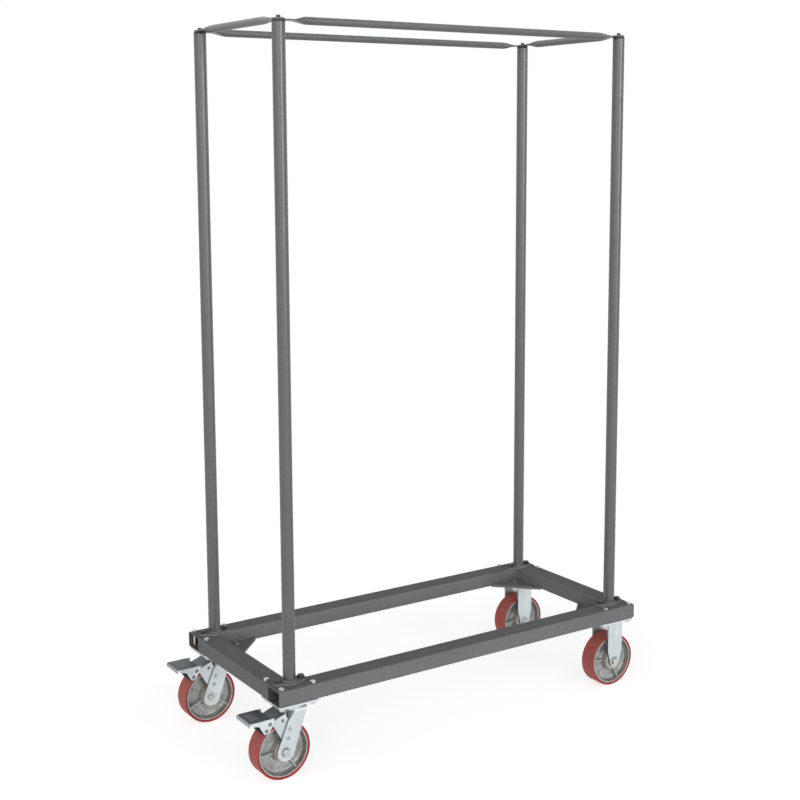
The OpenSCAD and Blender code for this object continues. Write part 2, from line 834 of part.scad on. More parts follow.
// Two cheeks against the inside of the legs, and the sloping plate that joins them
module brake_bracket(side) {
    slope = bracket_front - bracket_back;
    depth = bracket_t * [slope[1], -slope[0]] / norm(slope);
    color(zinc) swivel(side) difference() {
        union() {
            sheet_pair(bracket_y, bracket_t) {
                link(pivot, stop_rivet, bracket_lobe_r, bracket_lobe_r);
                link(rivets[1], rivets[0], bracket_foot_r, bracket_foot_r);
                polygon([pivot, bracket_back, bracket_front, rivets[1], rivets[0], bracket_tip]);
            }
            sheet(-leg_y, 2 * leg_y)
                polygon([bracket_back, bracket_front, bracket_front + depth, bracket_back + depth]);
        }
        cross_bar(pivot, pivot_pin_d / 2 + run_gap, -leg_y - over, 2 * (leg_y + over));
        for (at = concat(rivets, [stop_rivet]))
            cross_bar(at, rivet_d / 2 + fit_gap, -leg_y - over, 2 * (leg_y + over));
    }
}

// Rivets that hold the bracket in the fork, and a stop rivet in each cheek
module bracket_rivets(side) {
    color(bright) swivel(side) each_side() {
        for (at = rivets) {
            cross_bar(at, rivet_head_d / 2, fork_y, rivet_head_h);
            cross_bar(at, rivet_d / 2, bracket_y, fork_y - bracket_y + rivet_head_h / 2);
        }
        cross_bar(stop_rivet, rivet_head_d / 2, leg_y, rivet_head_h);
        cross_bar(stop_rivet, rivet_d / 2, bracket_y, bracket_t + rivet_head_h / 2);
    }
}

// The pad with its lip, and a cheek on each side that the pins pass through
module brake_pedal(side) {
    nose = [pad_back_x + cheek_setback, pad_top_z - cheek_nose_h];
    front_x = pivot[0] + cheek_pivot_r;
    color(zinc) swivel(side) difference() {
        union() {
            translate([pad_back_x, -pedal_half_w, pad_z])
                cube([pad_reach + pad_lead, 2 * pedal_half_w, pedal_t]);
            translate([pad_back_x, -pedal_half_w, pad_top_z - lip_h])
                cube([pedal_t, 2 * pedal_half_w, lip_h]);
            sheet_pair(cheek_y, pedal_t) {
                link(pivot, shoe_pin, cheek_pivot_r, cheek_shoe_r);
                polygon([[nose[0], pad_top_z], [front_x, pad_top_z], [front_x, pivot[1]], pivot,
                    shoe_pin, touch(nose, shoe_pin, cheek_shoe_r - round_inset, 1), nose]);
            }
        }
        cross_bar(pivot, pivot_pin_d / 2 + fit_gap, -pedal_half_w - over,
            2 * (pedal_half_w + over));
        cross_bar(shoe_pin, shoe_pin_d / 2 + fit_gap, -pedal_half_w - over,
            2 * (pedal_half_w + over));
    }
}

// The pivot pin and the shoe's pin, riveted over outside the cheeks, with a collar on each
// end of the pivot pin that keeps the cheeks off the bracket
module brake_pins(side) {
    color(bright) swivel(side) {
        for (pin = [[pivot, pivot_pin_d], [shoe_pin, shoe_pin_d]]) {
            cross_bar(pin[0], pin[1] / 2, -pedal_half_w - rivet_head_h / 2,
                2 * pedal_half_w + rivet_head_h);
            each_side() cross_bar(pin[0], pin[1] / 2 + rivet_head_h, pedal_half_w, rivet_head_h);
        }
        each_side() cross_bar(pivot, pivot_pin_d / 2 + rivet_head_h, leg_y + move_gap,
            cheek_gap - move_gap);
    }
}

// A block with a hollow face that meets the tread when the pedal is pressed
module brake_shoe(side) {
    reach = 2 * wheel_r;
    color(dark) swivel(side) difference() {
        sheet(-shoe_w / 2, shoe_w)
            translate(pivot) rotate(-pedal_turn) translate(axle - pivot) difference() {
                intersection() {
                    circle(wheel_r + shoe_t);
                    polygon([[0, 0], for (a = [locked_angle - shoe_before, locked_angle + shoe_after])
                        reach * [cos(a), sin(a)]]);
                }
                circle(wheel_r + lock_gap);
            }
        cross_bar(shoe_pin, shoe_pin_d / 2 + fit_gap, -shoe_w, 2 * shoe_w);
    }
}

module front_brake_bracket() { brake_bracket(-1); }
module front_bracket_rivets() { bracket_rivets(-1); }
module front_brake_pedal() { brake_pedal(-1); }
module front_brake_pins() { brake_pins(-1); }
module front_brake_shoe() { brake_shoe(-1); }
module rear_brake_bracket() { brake_bracket(1); }
module rear_bracket_rivets() { bracket_rivets(1); }
module rear_brake_pedal() { brake_pedal(1); }
module rear_brake_pins() { brake_pins(1); }
module rear_brake_shoe() { brake_shoe(1); }

front_side_rail();
rear_side_rail();
left_end_rail();
right_end_rail();
corner_gussets();
front_left_post();
front_right_post();
rear_left_post();
rear_right_post();
post_flanges();
flange_bolts();
flange_nuts();
post_plugs();
front_top_rail();
rear_top_rail();
left_top_rail();
right_top_rail();
top_screws();
caster_bolts();
caster_nuts();
fixed_plates();
fixed_forks();
fixed_axle_bolts();
fixed_axle_nuts();
fixed_axle_sleeves();
front_fixed_core();
front_fixed_tread();
front_fixed_bearings();
rear_fixed_core();
rear_fixed_tread();
rear_fixed_bearings();
swivel_plates();
king_pins();
front_swivel_balls();
front_swivel_fork();
front_swivel_axle_bolt();
front_swivel_axle_nut();
front_swivel_axle_sleeve();
front_swivel_core();
front_swivel_tread();
front_swivel_bearings();
rear_swivel_balls();
rear_swivel_fork();
rear_swivel_axle_bolt();
rear_swivel_axle_nut();
rear_swivel_axle_sleeve();
rear_swivel_core();
rear_swivel_tread();
rear_swivel_bearings();
front_brake_bracket();
front_bracket_rivets();
front_brake_pedal();
front_brake_pins();
front_brake_shoe();
rear_brake_bracket();
rear_bracket_rivets();
rear_brake_pedal();
rear_brake_pins();
rear_brake_shoe();
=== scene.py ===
import json
import math

import bmesh
import bpy
from mathutils import Matrix, Vector
from mathutils.geometry import convex_hull_2d, tessellate_polygon


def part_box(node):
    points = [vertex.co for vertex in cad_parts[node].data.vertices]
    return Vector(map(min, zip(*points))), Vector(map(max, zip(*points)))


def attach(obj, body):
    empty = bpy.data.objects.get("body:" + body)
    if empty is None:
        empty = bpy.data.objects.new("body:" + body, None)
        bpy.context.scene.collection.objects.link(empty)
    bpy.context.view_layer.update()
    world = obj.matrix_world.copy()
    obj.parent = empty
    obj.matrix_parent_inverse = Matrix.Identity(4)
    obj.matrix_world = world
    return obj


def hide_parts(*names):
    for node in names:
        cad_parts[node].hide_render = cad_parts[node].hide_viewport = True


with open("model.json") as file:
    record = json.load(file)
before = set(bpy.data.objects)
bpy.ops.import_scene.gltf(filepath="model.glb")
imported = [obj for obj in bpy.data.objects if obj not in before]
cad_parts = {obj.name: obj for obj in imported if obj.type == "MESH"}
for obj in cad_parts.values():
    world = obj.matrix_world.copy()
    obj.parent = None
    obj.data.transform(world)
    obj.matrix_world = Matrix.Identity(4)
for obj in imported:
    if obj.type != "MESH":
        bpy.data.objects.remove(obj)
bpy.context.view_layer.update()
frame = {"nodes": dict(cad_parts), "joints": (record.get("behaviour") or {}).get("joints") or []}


# Camera
# It stands where the picture was taken, in front of the braked end at head height. It looks down
# a little, and a small shift keeps the tall posts close to upright in the picture.
def in_scene(name, data):
    """A new object that is in the scene."""
    made = bpy.data.objects.new(name, data)
    bpy.context.scene.collection.objects.link(made)
    return made


rail_low, rail_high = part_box("front_side_rail")
base_x = (rail_low.x + rail_high.x) / 2
eye = (base_x - 2.102, -3.095, 1.565)
eye_turn = 0.585
eye_dip = 0.144
eye_roll = 0.0044
picture_px = 800
focal_px = 1375
picture_shift = -0.07
film_mm = 36
lens = bpy.data.cameras.new("camera")
lens.sensor_width = film_mm
lens.lens = film_mm * focal_px / picture_px
lens.shift_y = picture_shift
camera = in_scene("camera", lens)
camera.location = eye
camera.rotation_euler = (math.pi / 2 - eye_dip, eye_roll, -eye_turn)
bpy.context.scene.camera = camera
bpy.context.scene.view_settings.view_transform = "Standard"


# Floor and light
# A plain white studio floor between white walls, brighter in front, under a dim ceiling. A wide lamp
# beside the camera and a weaker one from the braked end light the trolley, and a narrow one draws
# the bright line down its tubes. The floor keeps the shadow.
class Signal:
    """A node socket that works in Python sums, each of which adds its Math node."""

    def __init__(self, tree, socket=None):
        self.tree = tree
        self.socket = socket

    def node(self, kind, inputs=None, out=0, **settings):
        """Any other node: its settings are made first, and then its sockets are set or linked."""
        made = self.tree.nodes.new(kind)
        for key, value in settings.items():
            setattr(made, key, value)
        for key, value in (inputs or {}).items():
            socket = self.find(made.inputs, key)
            for part in value if isinstance(value, list) else [value]:
                if isinstance(part, Signal):
                    self.tree.links.new(part.socket, socket)
                else:
                    socket.default_value = part
        return Signal(self.tree, self.find(made.outputs, out))

    @staticmethod
    def find(sockets, key):
        """A socket by its number, its identifier or its name."""
        if isinstance(key, int):
            return sockets[key]
        return next((s for s in sockets if s.identifier == key), None) or sockets[key]

    def math(self, operation, *values):
        return self.node("ShaderNodeMath", dict(enumerate(values)), operation=operation)

    def __add__(self, other):
        return self.math("ADD", self, other)

    def __sub__(self, other):
        return self.math("SUBTRACT", self, other)

    def __rsub__(self, other):
        return self.math("SUBTRACT", other, self)

    def __mul__(self, other):
        return self.math("MULTIPLY", self, other)

    def __truediv__(self, other):
        return self.math("DIVIDE", self, other)

    def __rtruediv__(self, other):
        return self.math("DIVIDE", other, self)

    def __neg__(self):
        return self * -1

    def __abs__(self):
        return self.math("ABSOLUTE", self)

    def __floor__(self):
        return self.math("FLOOR", self)

    __radd__ = __add__
    __rmul__ = __mul__

    def least(self, other):
        return self.math("MINIMUM", self, other)

    def most(self, other):
        return self.math("MAXIMUM", self, other)

    def ramp(self, low, high):
        """0 below low, 1 above high, and a smooth step between them."""
        return self.node("ShaderNodeMapRange", {"Value": self, "From Min": low, "From Max": high},
                         interpolation_type="SMOOTHSTEP")

    def mix(self, first, second):
        """The first colour where this is 0, and the second where it is 1."""
        first, second = (c if isinstance(c, Signal) else (*c, 1) for c in (first, second))
        return self.node("ShaderNodeMix", {"Factor_Float": self, "A_Color": first, "B_Color": second},
                         "Result_Color", data_type="RGBA")

    def tint(self, colour):
        """A colour made brighter or darker by this."""
        return self.node("ShaderNodeVectorMath", {"Vector": colour, "Scale": self}, operation="SCALE")

    def axis(self, name):
        """The X, Y or Z of this vector."""
        return self.node("ShaderNodeSeparateXYZ", {0: self}, name)

    def xyz(self, **parts):
        """A vector with the given parts of X, Y and Z, and 0 for the rest."""
        return self.node("ShaderNodeCombineXYZ", parts)

    def attribute(self, name):
        """A value that the mesh keeps at its points."""
        return self.node("ShaderNodeAttribute", out="Fac", attribute_name=name)

    def into(self, node, socket):
        """Links this to a socket of a node that is there."""
        self.tree.links.new(self.socket, node.inputs[socket])


def finish(name, constants):
    """A new material, the coordinates that its patterns are drawn on, and its shader."""
    material = bpy.data.materials.new(name)
    material.use_nodes = True
    shader = material.node_tree.nodes["Principled BSDF"]
    for socket, value in constants.items():
        shader.inputs[socket].default_value = value
    return material, Signal(material.node_tree).node("ShaderNodeTexCoord", out="Object"), shader


def noise(spot, scale, detail=2.0, rough=0.5):
    return spot.node("ShaderNodeTexNoise",
                     {"Vector": spot, "Scale": scale, "Detail": detail, "Roughness": rough}, "Fac")


def background_rays(start):
    """1 for the rays that show the background: straight from the camera, or by way of metal or glass."""
    kinds = ("Is Camera Ray", "Is Glossy Ray", "Is Transmission Ray")
    straight, glossy, through = (start.node("ShaderNodeLightPath", out=kind) for kind in kinds)
    return straight.most(glossy).most(through)


floor_half = 40.0
floor_glow = 0.61
floor_tones = ((0.90, 0.90, 0.90), (0.92, 0.92, 0.92))
floor_cloud = 0.8
floor_paint, spot, shader = finish("floor_paint", {"Roughness": 0.95, "Specular IOR Level": 0.0,
                                                   "Emission Strength": 1.0})
noise(spot, floor_cloud).ramp(0.2, 0.8).mix(*floor_tones).into(shader, "Base Color")
background_rays(spot).mix((0, 0, 0), (floor_glow,) * 3).into(shader, "Emission Color")
floor_mesh = bpy.data.meshes.new("floor")
floor_corners = ((-1, -1), (1, -1), (1, 1), (-1, 1))
floor_mesh.from_pydata([(x * floor_half, y * floor_half, 0) for x, y in floor_corners], [], [(0, 1, 2, 3)])
floor_mesh.materials.append(floor_paint)
floor = in_scene("floor", floor_mesh)

wall_level = 0.46
front_level = 0.50
ceiling_share = 0.3
ceiling_from = math.sin(math.radians(25))
ceiling_to = math.sin(math.radians(60))
studio = bpy.data.worlds.new("studio")
studio.use_nodes = True
bpy.context.scene.world = studio
way = Signal(studio.node_tree).node("ShaderNodeTexCoord", out="Generated")
overhead = way.axis("Z").ramp(ceiling_from, ceiling_to)
facing = way.axis("Y").least(0.0)
wall = wall_level + front_level * facing * facing
white = background_rays(way) * (1 - wall) + wall
level = white * (1 - (1 - ceiling_share) * overhead)
backdrop = studio.node_tree.nodes["Background"]
backdrop.inputs["Color"].default_value = (1, 1, 1, 1)
level.into(backdrop, "Strength")

lamps = (("key", 1.10, 60, 8, -32), ("side", 0.70, 12, 5, 14), ("fill", 0.4, 60, 30, -80))
for name, strength, spread, height, turn in lamps:
    sun = bpy.data.lights.new(name, "SUN")
    sun.energy = strength
    sun.angle = math.radians(spread)
    lamp = in_scene(name, sun)
    lamp.rotation_euler = (math.radians(90 - height), 0, math.radians(turn))


# Base rails
# Four lengths of rectangular steel tube, sawn square and welded into a frame, then powder coated
# a fine-textured dark grey. The side rails keep open ends and the end rails butt between them.
def wound(loop, turn):
    """The loop as it is, or reversed, so that it runs the way that turn says."""
    area = sum(a[0] * b[1] - b[0] * a[1] for a, b in zip(loop, loop[1:] + loop[:1]))
    return loop if area * turn > 0 else loop[::-1]


mitre_limit = 0.3


def inset(loop, distance):
    """The loop moved towards its left by a distance."""
    points = [Vector(point) for point in loop]
    shifted = []
    for before, here, after in zip(points[-1:] + points[:-1], points, points[1:] + points[:1]):
        come = (here - before).normalized()
        go = (after - here).normalized()
        left = Vector((-come.y - go.y, come.x + go.x)).normalized()
        shifted.append(here + left * distance / max(mitre_limit, left.dot(Vector((-come.y, come.x)))))
    return shifted


def skin(made, rings):
    """Faces between rings of points that follow each other."""
    for ring, after in zip(rings, rings[1:]):
        for n in range(len(ring)):
            made.faces.new((ring[n - 1], ring[n], after[n], after[n - 1]))


merge_gap = 1e-6


def mesh_from(made):
    """A mesh of what is drawn, with its faces pointing outwards."""
    bmesh.ops.remove_doubles(made, verts=made.verts, dist=merge_gap)
    bmesh.ops.recalc_face_normals(made, faces=made.faces)
    mesh = bpy.data.meshes.new("drawn")
    made.to_mesh(mesh)
    made.free()
    return mesh


def slab(loops, depth, edge):
    """A flat solid from Z = 0 to depth with rounded edges, of an outline and any holes in it."""
    arc = [math.radians(a) for a in (0, 30, 60, 90)]
    low = [(edge * (1 - math.sin(a)), edge * (1 - math.cos(a))) for a in arc]
    levels = low + [(back, depth - up) for back, up in reversed(low)]
    made = bmesh.new()
    ends = ([], [])
    for number, loop in enumerate(loops):
        loop = wound(loop, -1 if number else 1)
        rings = [[made.verts.new((p.x, p.y, up)) for p in inset(loop, back)] for back, up in levels]
        skin(made, rings)
        ends[0].append(rings[0])
        ends[1].append(rings[-1])
    for end in ends:
        flat = [vert for ring in end for vert in ring]
        for corners in tessellate_polygon([[vert.co for vert in ring] for ring in end]):
            made.faces.new([flat[n] for n in corners])
    return mesh_from(made)


arc_share = 0.49


def rounded(corners, radius, steps=5):
    """A closed outline with its corners turned into arcs, of one radius or of one for each corner."""
    radii = radius if isinstance(radius, list) else [radius] * len(corners)
    outline = []
    for n, (corner, r) in enumerate(zip(corners, radii)):
        here = Vector(corner)
        back = Vector(corners[n - 1]) - here
        ahead = Vector(corners[(n + 1) % len(corners)]) - here
        half = back.angle(ahead) / 2
        run = min(r / math.tan(half), arc_share * min(back.length, ahead.length))
        if run <= 0:
            outline.append(here)
            continue
        inward = (back.normalized() + ahead.normalized()).normalized()
        middle = here + inward * run / math.cos(half)
        first = here + back.normalized() * run - middle
        last = here + ahead.normalized() * run - middle
        turn = last.angle_signed(first)
        outline += [middle + Matrix.Rotation(turn * k / steps, 2) @ first for k in range(steps + 1)]
    return [(p.x, p.y) for p in outline]


def corners_of(low, high):
    """The four corners of a rectangle between its lowest and its highest one."""
    return [low, (high[0], low[1]), high, (low[0], high[1])]


def box_outline(w, h, r):
    return rounded(corners_of((-w / 2, -h / 2), (w / 2, h / 2)), r)


def frame_of(x, y, z, at):
    """The matrix that lays a drawing's X, Y and Z along three directions, with its origin at a point."""
    return Matrix.Translation(at) @ Matrix((x, y, z)).transposed().to_4x4()


def placed(mesh, matrix):
    """The mesh moved into place, with its faces still outwards if the matrix mirrors it."""
    mesh.transform(matrix)
    if matrix.determinant() < 0:
        mesh.flip_normals()
    return mesh


def soften(piece, width, angle):
    """Rounds the edges of a piece where it turns by more than an angle."""
    bevel = piece.modifiers.new("soft_edges", "BEVEL")
    bevel.width = width
    bevel.segments = 2
    bevel.limit_method = "ANGLE"
    bevel.angle_limit = math.radians(angle)


def add_piece(name, mesh, material, body, nodes, crease=40, bevel=0.0):
    """A finished piece: it takes a material, rides on a body and stands for its solids."""
    mesh.materials.clear()
    mesh.materials.append(material)
    mesh.shade_smooth()
    mesh.set_sharp_from_angle(angle=math.radians(crease))
    piece = in_scene(name, mesh)
    if bevel:
        soften(piece, bevel, crease)
    even = piece.modifiers.new("even_shading", "WEIGHTED_NORMAL")
    even.keep_sharp = True
    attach(piece, body)
    if nodes:
        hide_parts(*nodes)
    return piece


def dress(shader, colour, rough, height, strength, distance):
    """The end of a material: its colour, its roughness, and a fine relief of some height."""
    colour.into(shader, "Base Color")
    rough.into(shader, "Roughness")
    relief = height.node("ShaderNodeBump", {"Strength": strength, "Distance": distance, "Height": height})
    relief.into(shader, "Normal")


coat_colour = (0.184, 0.186, 0.191)
rubbed_and_highlight_colour = (0.36, 0.37, 0.38)
rust_colours = ((0.085, 0.081, 0.076), (0.15, 0.134, 0.115))
coat_cloud = 5
coat_mottle = 210
coat_peel = 700
coat_fleck = 2600
rub_patch = 60
rust_patch = 40


def powder_coat(name, masks=None, tone=1.0, dullness=0.68, gloss=0.10, relief=0.28, patches=1.0):
    """Textured powder coat. The masks give where it has rubbed thin (on the top rails, a painted highlight
    along the upper side), and where it is a bare inside.
    """
    material, spot, shader = finish(name, {"Specular IOR Level": gloss})
    fleck = noise(spot, coat_fleck, detail=1.0).ramp(0.35, 0.72)
    cloud = noise(spot, coat_cloud, detail=3.0)
    mottle = noise(spot, coat_mottle, detail=3.0, rough=0.6)
    colour = ((0.40 + 0.22 * cloud + 0.26 * fleck + 0.80 * mottle) * tone).tint(coat_colour)
    rough = dullness - 0.06 + 0.12 * cloud + 0.08 * fleck
    if masks:
        worn, inside = masks(spot)
        # On the top rails this mask paints a highlight along the upper side.
        rub = worn * (1 - patches + patches * noise(spot, rub_patch, detail=4.0).ramp(0.36, 0.62))
        colour = (rub * 0.55).mix(colour, rubbed_and_highlight_colour)
        rough = rough - 0.1 * rub
        if inside:
            rust = noise(spot, rust_patch, detail=4.0).ramp(0.3, 0.75).mix(*rust_colours)
            colour = inside.mix(colour, rust)
            rough = rough + 0.2 * inside
    height = noise(spot, coat_peel, detail=3.0) + 0.35 * fleck
    dress(shader, colour, rough, height, strength=relief, distance=0.0006)
    return material


rail_w = rail_high.y - rail_low.y
rail_h = rail_high.z - rail_low.z
rail_wall = 0.003
rail_corner = 0.004
rail_saw = 0.0004
rail_rub = 0.0022
rail_z = (rail_low.z + rail_high.z) / 2
rub_fade = 0.6 * rail_rub
bare_fade = 0.0006


def rail_masks(axis, middle, offset):
    """Where a rail's coat has rubbed thin along its corners, and where its bare inside begins."""
    def masks(spot):
        across = abs(abs(spot.axis(axis) - middle) - offset)
        up = abs(spot.axis("Z") - rail_z)
        corner = (across - (rail_w / 2 - rail_rub)).least(up - (rail_h / 2 - rail_rub))
        depth = (across - (rail_w - rail_wall) / 2).most(up - (rail_h - rail_wall) / 2)
        return corner.ramp(0, rub_fade), 1 - depth.ramp(-bare_fade, 0)
    return masks


rail_section = [box_outline(rail_w, rail_h, rail_corner),
                box_outline(rail_w - 2 * rail_wall, rail_h - 2 * rail_wall, rail_corner - rail_wall / 2)]
sides = {"front": 1, "rear": -1}
side_y = (rail_low.y + rail_high.y) / 2
side_coat = powder_coat("side_rail_coat", rail_masks("Y", 0, abs(side_y)))
for side in sides:
    low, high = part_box(f"{side}_side_rail")
    lie = frame_of((0, 1, 0), (0, 0, 1), (1, 0, 0), (low.x, (low.y + high.y) / 2, rail_z))
    rail = placed(slab(rail_section, high.x - low.x, rail_saw), lie)
    add_piece(f"{side}_side_rail_tube", rail, side_coat, "frame", [f"{side}_side_rail"])

end_low, end_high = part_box("right_end_rail")
end_coat = powder_coat("end_rail_coat", rail_masks("X", base_x, (end_low.x + end_high.x) / 2 - base_x))
for end in ("left", "right"):
    low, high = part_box(f"{end}_end_rail")
    lie = frame_of((-1, 0, 0), (0, 0, 1), (0, 1, 0), ((low.x + high.x) / 2, low.y, rail_z))
    rail = placed(slab(rail_section, high.y - low.y, rail_saw), lie)
    add_piece(f"{end}_end_rail_tube", rail, end_coat, "frame", [f"{end}_end_rail"])


# Corner gussets and frame welds
# A flat steel triangle closes each corner of the base from below. Rippled fillet welds hold the
# gussets and the end rails, and the powder coat runs over them.
def joined(meshes):
    """One mesh of several, each of which keeps its own points."""
    made = bmesh.new()
    for mesh in meshes:
        made.from_mesh(mesh)
    whole = bpy.data.meshes.new("joined")
    made.to_mesh(whole)
    made.free()
    return whole


def tree_with(name, sizes):
    """A Geometry Nodes tree, with a signal for its geometry, its material and each named size."""
    tree = bpy.data.node_groups.new(name, "GeometryNodeTree")
    tree.interface.new_socket("Geometry", in_out="OUTPUT", socket_type="NodeSocketGeometry")
    kinds = {"Geometry": "NodeSocketGeometry", "Material": "NodeSocketMaterial"}
    names = ["Geometry", "Material"] + sizes
    for each in names:
        tree.interface.new_socket(each, in_out="INPUT", socket_type=kinds.get(each, "NodeSocketFloat"))
    entry = tree.nodes.new("NodeGroupInput")
    return tree, {each: Signal(tree, entry.outputs[each]) for each in names}


def close_tree(shape, material):
    """The end of a tree: its instances are made real and its material is set."""
    real = shape.node("GeometryNodeRealizeInstances", {"Geometry": shape})
    painted = real.node("GeometryNodeSetMaterial", {"Geometry": real, "Material": material})
    painted.into(painted.tree.nodes.new("NodeGroupOutput"), "Geometry")


def grown(tree, seeds, material, sizes):
    """The plain mesh that a tree makes of its seeds."""
    host = in_scene("host", seeds)
    step = host.modifiers.new("grow", "NODES")
    step.node_group = tree
    values = dict(sizes, Material=material)
    for socket in tree.interface.items_tree:
        if socket.in_out == "INPUT" and socket.name in values:
            step[socket.identifier] = values[socket.name]
    graph = bpy.context.evaluated_depsgraph_get()
    mesh = bpy.data.meshes.new_from_object(host.evaluated_get(graph))
    host.modifiers.remove(step)
    bpy.data.objects.remove(host)
    return mesh


def seed_lines(lines):
    """A mesh of bare edges that run through each list of points."""
    points = []
    edges = []
    for line in lines:
        edges += [(len(points) + n, len(points) + n + 1) for n in range(len(line) - 1)]
        points += line
    mesh = bpy.data.meshes.new("seeds")
    mesh.from_pydata(points, edges, [])
    return mesh


weld_tree, weld = tree_with("weld_bead", ["Bead radius", "Ripple pitch"])
run = weld["Geometry"].node("GeometryNodeMeshToCurve", {"Mesh": weld["Geometry"]})
run = run.node("GeometryNodeResampleCurve", {"Curve": run, "Length": weld["Ripple pitch"]}, mode="LENGTH")
ripple = run.node("GeometryNodeMeshUVSphere", {"Segments": 10, "Rings": 6, "Radius": weld["Bead radius"]})
tangent = run.node("GeometryNodeInputTangent")
along = run.node("FunctionNodeAlignRotationToVector", {"Vector": tangent}, axis="Z")
beads = run.node("GeometryNodeInstanceOnPoints",
                 {"Points": run, "Instance": ripple, "Rotation": along, "Scale": (1, 1, 0.8)})
close_tree(beads, weld["Material"])

plain_coat = powder_coat("frame_coat")
gusset_low, gusset_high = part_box("corner_gussets")
gusset_leg = 0.118
gusset_nose = 0.004
gusset_edge = 0.0006
weld_share = 0.88
seam_z = rail_high.z - rail_corner / 2
bead_sizes = {"Bead radius": 0.0030, "Ripple pitch": 0.0024}
quarters = [(x, y) for x in (-1, 1) for y in (-1, 1)]
gusset_plates = []
weld_runs = []
for x_side, y_side in quarters:
    corner = Vector((gusset_high.x if x_side > 0 else gusset_low.x, y_side * gusset_high.y))
    legs = (Vector((x_side * gusset_leg, 0)), Vector((0, y_side * gusset_leg)))
    outline = rounded([corner, corner - legs[0], corner - legs[1]], [0, gusset_nose, gusset_nose])
    plate = slab([outline], gusset_high.z - gusset_low.z, gusset_edge)
    gusset_plates.append(placed(plate, Matrix.Translation((0, 0, gusset_low.z))))
    inner = (corner.x, corner.y, gusset_high.z)
    weld_runs += [[inner, (*(corner - leg * weld_share), gusset_high.z)] for leg in legs]
    weld_runs.append([inner, (corner.x, corner.y, rail_high.z - rail_corner)])
    outer_x = corner.x + x_side * (rail_w - rail_corner)
    weld_runs.append([(corner.x, corner.y, seam_z), (outer_x, corner.y, seam_z)])
add_piece("corner_gusset_plates", joined(gusset_plates), plain_coat, "frame", ["corner_gussets"])
base_welds = grown(weld_tree, seed_lines(weld_runs), plain_coat, bead_sizes)
add_piece("base_welds", base_welds, plain_coat, "frame", [])


# Caster plates
# Four zinc-plated steel plates with rounded corners, bolted up under the corners of the base. The
# two at the braked end have a raceway pressed into them, which the balls of the swivel run in.
# Dark grey for duller zinc, and for shade that is painted onto the zinc.
dull_and_shade_colour = (0.175, 0.188, 0.192)
zinc_cloud = 24
zinc_dimple = 260
zinc_grain = 1100


def zinc_plate(name, colour, rough, dull=None):
    """Zinc plating, with slow clouds and fine grain. A dull mask gives where it is dark grey: duller plating
    on some parts, and painted shade on others.
    """
    material, spot, shader = finish(name, {"Metallic": 1.0})
    cloud = noise(spot, zinc_cloud, detail=4.0)
    grain = noise(spot, zinc_grain, detail=2.0)
    shine = (0.82 + 0.26 * cloud + 0.10 * grain).tint(colour)
    gloss = rough - 0.06 + 0.14 * cloud
    if dull:
        shade = dull(spot)
        shine = shade.mix(shine, dull_and_shade_colour)
        gloss = gloss + 0.12 * shade
    height = grain + 0.5 * noise(spot, zinc_dimple, detail=3.0)
    dress(shader, shine, gloss, height, strength=0.10, distance=0.0004)
    return material


def lathe(profile, turns=96):
    """A solid turned round Z from a closed outline of radius and height."""
    made = bmesh.new()
    angles = [2 * math.pi * n / turns for n in range(turns)]
    rings = [[made.verts.new((r * math.cos(a), r * math.sin(a), z)) for a in angles] for r, z in profile]
    skin(made, rings + rings[:1])
    return mesh_from(made)


joint_at = {joint["name"]: Vector(joint["pos_m"]) for joint in frame["joints"]}


def caster_place(joint, hand):
    """From a caster's own middle on the floor to its place. The rear casters are mirrored."""
    at = joint_at[joint]
    return Matrix.Translation((at.x, at.y, 0)) @ Matrix.Diagonal((1, hand, 1, 1))


plate_zinc = zinc_plate("plate_zinc", (0.60, 0.64, 0.66), rough=0.42)
fixed_low, fixed_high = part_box("fixed_plates")
plate_l = fixed_high.x - fixed_low.x
plate_w = 0.102
plate_z = fixed_low.z
plate_t = fixed_high.z - fixed_low.z
plate_corner = 0.010
plate_edge = 0.0011
race_r = 0.033
race_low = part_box("swivel_plates")[0].z
race_high = plate_z + plate_t / 2
race_round = 0.003
king_r = 0.007
ball_circle_r = 0.023
groove_r = 0.0043
groove_z = race_low - 0.0015
groove = [(ball_circle_r + groove_r * math.cos(a), groove_z + groove_r * math.sin(a))
          for a in (math.radians(d) for d in (22, 56, 90, 124, 158))]
race_outline = rounded([(king_r, race_high), (race_r, race_high), (race_r, race_low)], [0, 0, race_round])
race_outline += groove + [(king_r, race_low)]
plate_outline = box_outline(plate_l, plate_w, plate_corner)
fixed_places = {side: caster_place(f"{side}_fixed_wheel_spin", hand) for side, hand in sides.items()}
swivel_places = {side: caster_place(f"{side}_swivel_turn", hand) for side, hand in sides.items()}


def top_plate(place):
    """A caster's plate with its rounded corners, in its place."""
    return placed(slab([plate_outline], plate_t, plate_edge), place @ Matrix.Translation((0, 0, plate_z)))


fixed_tops = [top_plate(place) for place in fixed_places.values()]
add_piece("fixed_caster_plates", joined(fixed_tops), plate_zinc, "frame", ["fixed_plates"])
swivel_tops = []
for place in swivel_places.values():
    swivel_tops += [top_plate(place), placed(lathe(race_outline), place)]
add_piece("swivel_caster_plates", joined(swivel_tops), plate_zinc, "frame", ["swivel_plates"])

# King pins and swivel balls
# The steel pin is held in the plate and its formed head carries the crown of the fork. A ring of
# hardened balls runs between the raceway and the crown.
pin_steel = zinc_plate("pin_steel", (0.56, 0.57, 0.58), rough=0.30)
king_low, king_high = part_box("king_pins")
king_head_r = 0.013
king_neck_z = king_low.z + 0.008
king_corners = [(0, king_low.z), (king_head_r, king_low.z), (king_head_r, king_neck_z),
                (king_r, king_neck_z), (king_r, king_high.z), (0, king_high.z)]
king_outline = rounded(king_corners, [0, 0.003, 0.001, 0, 0.001, 0])
king_pins = [placed(lathe(king_outline, turns=48), place) for place in swivel_places.values()]
add_piece("swivel_king_pins", joined(king_pins), pin_steel, "frame", ["king_pins"])


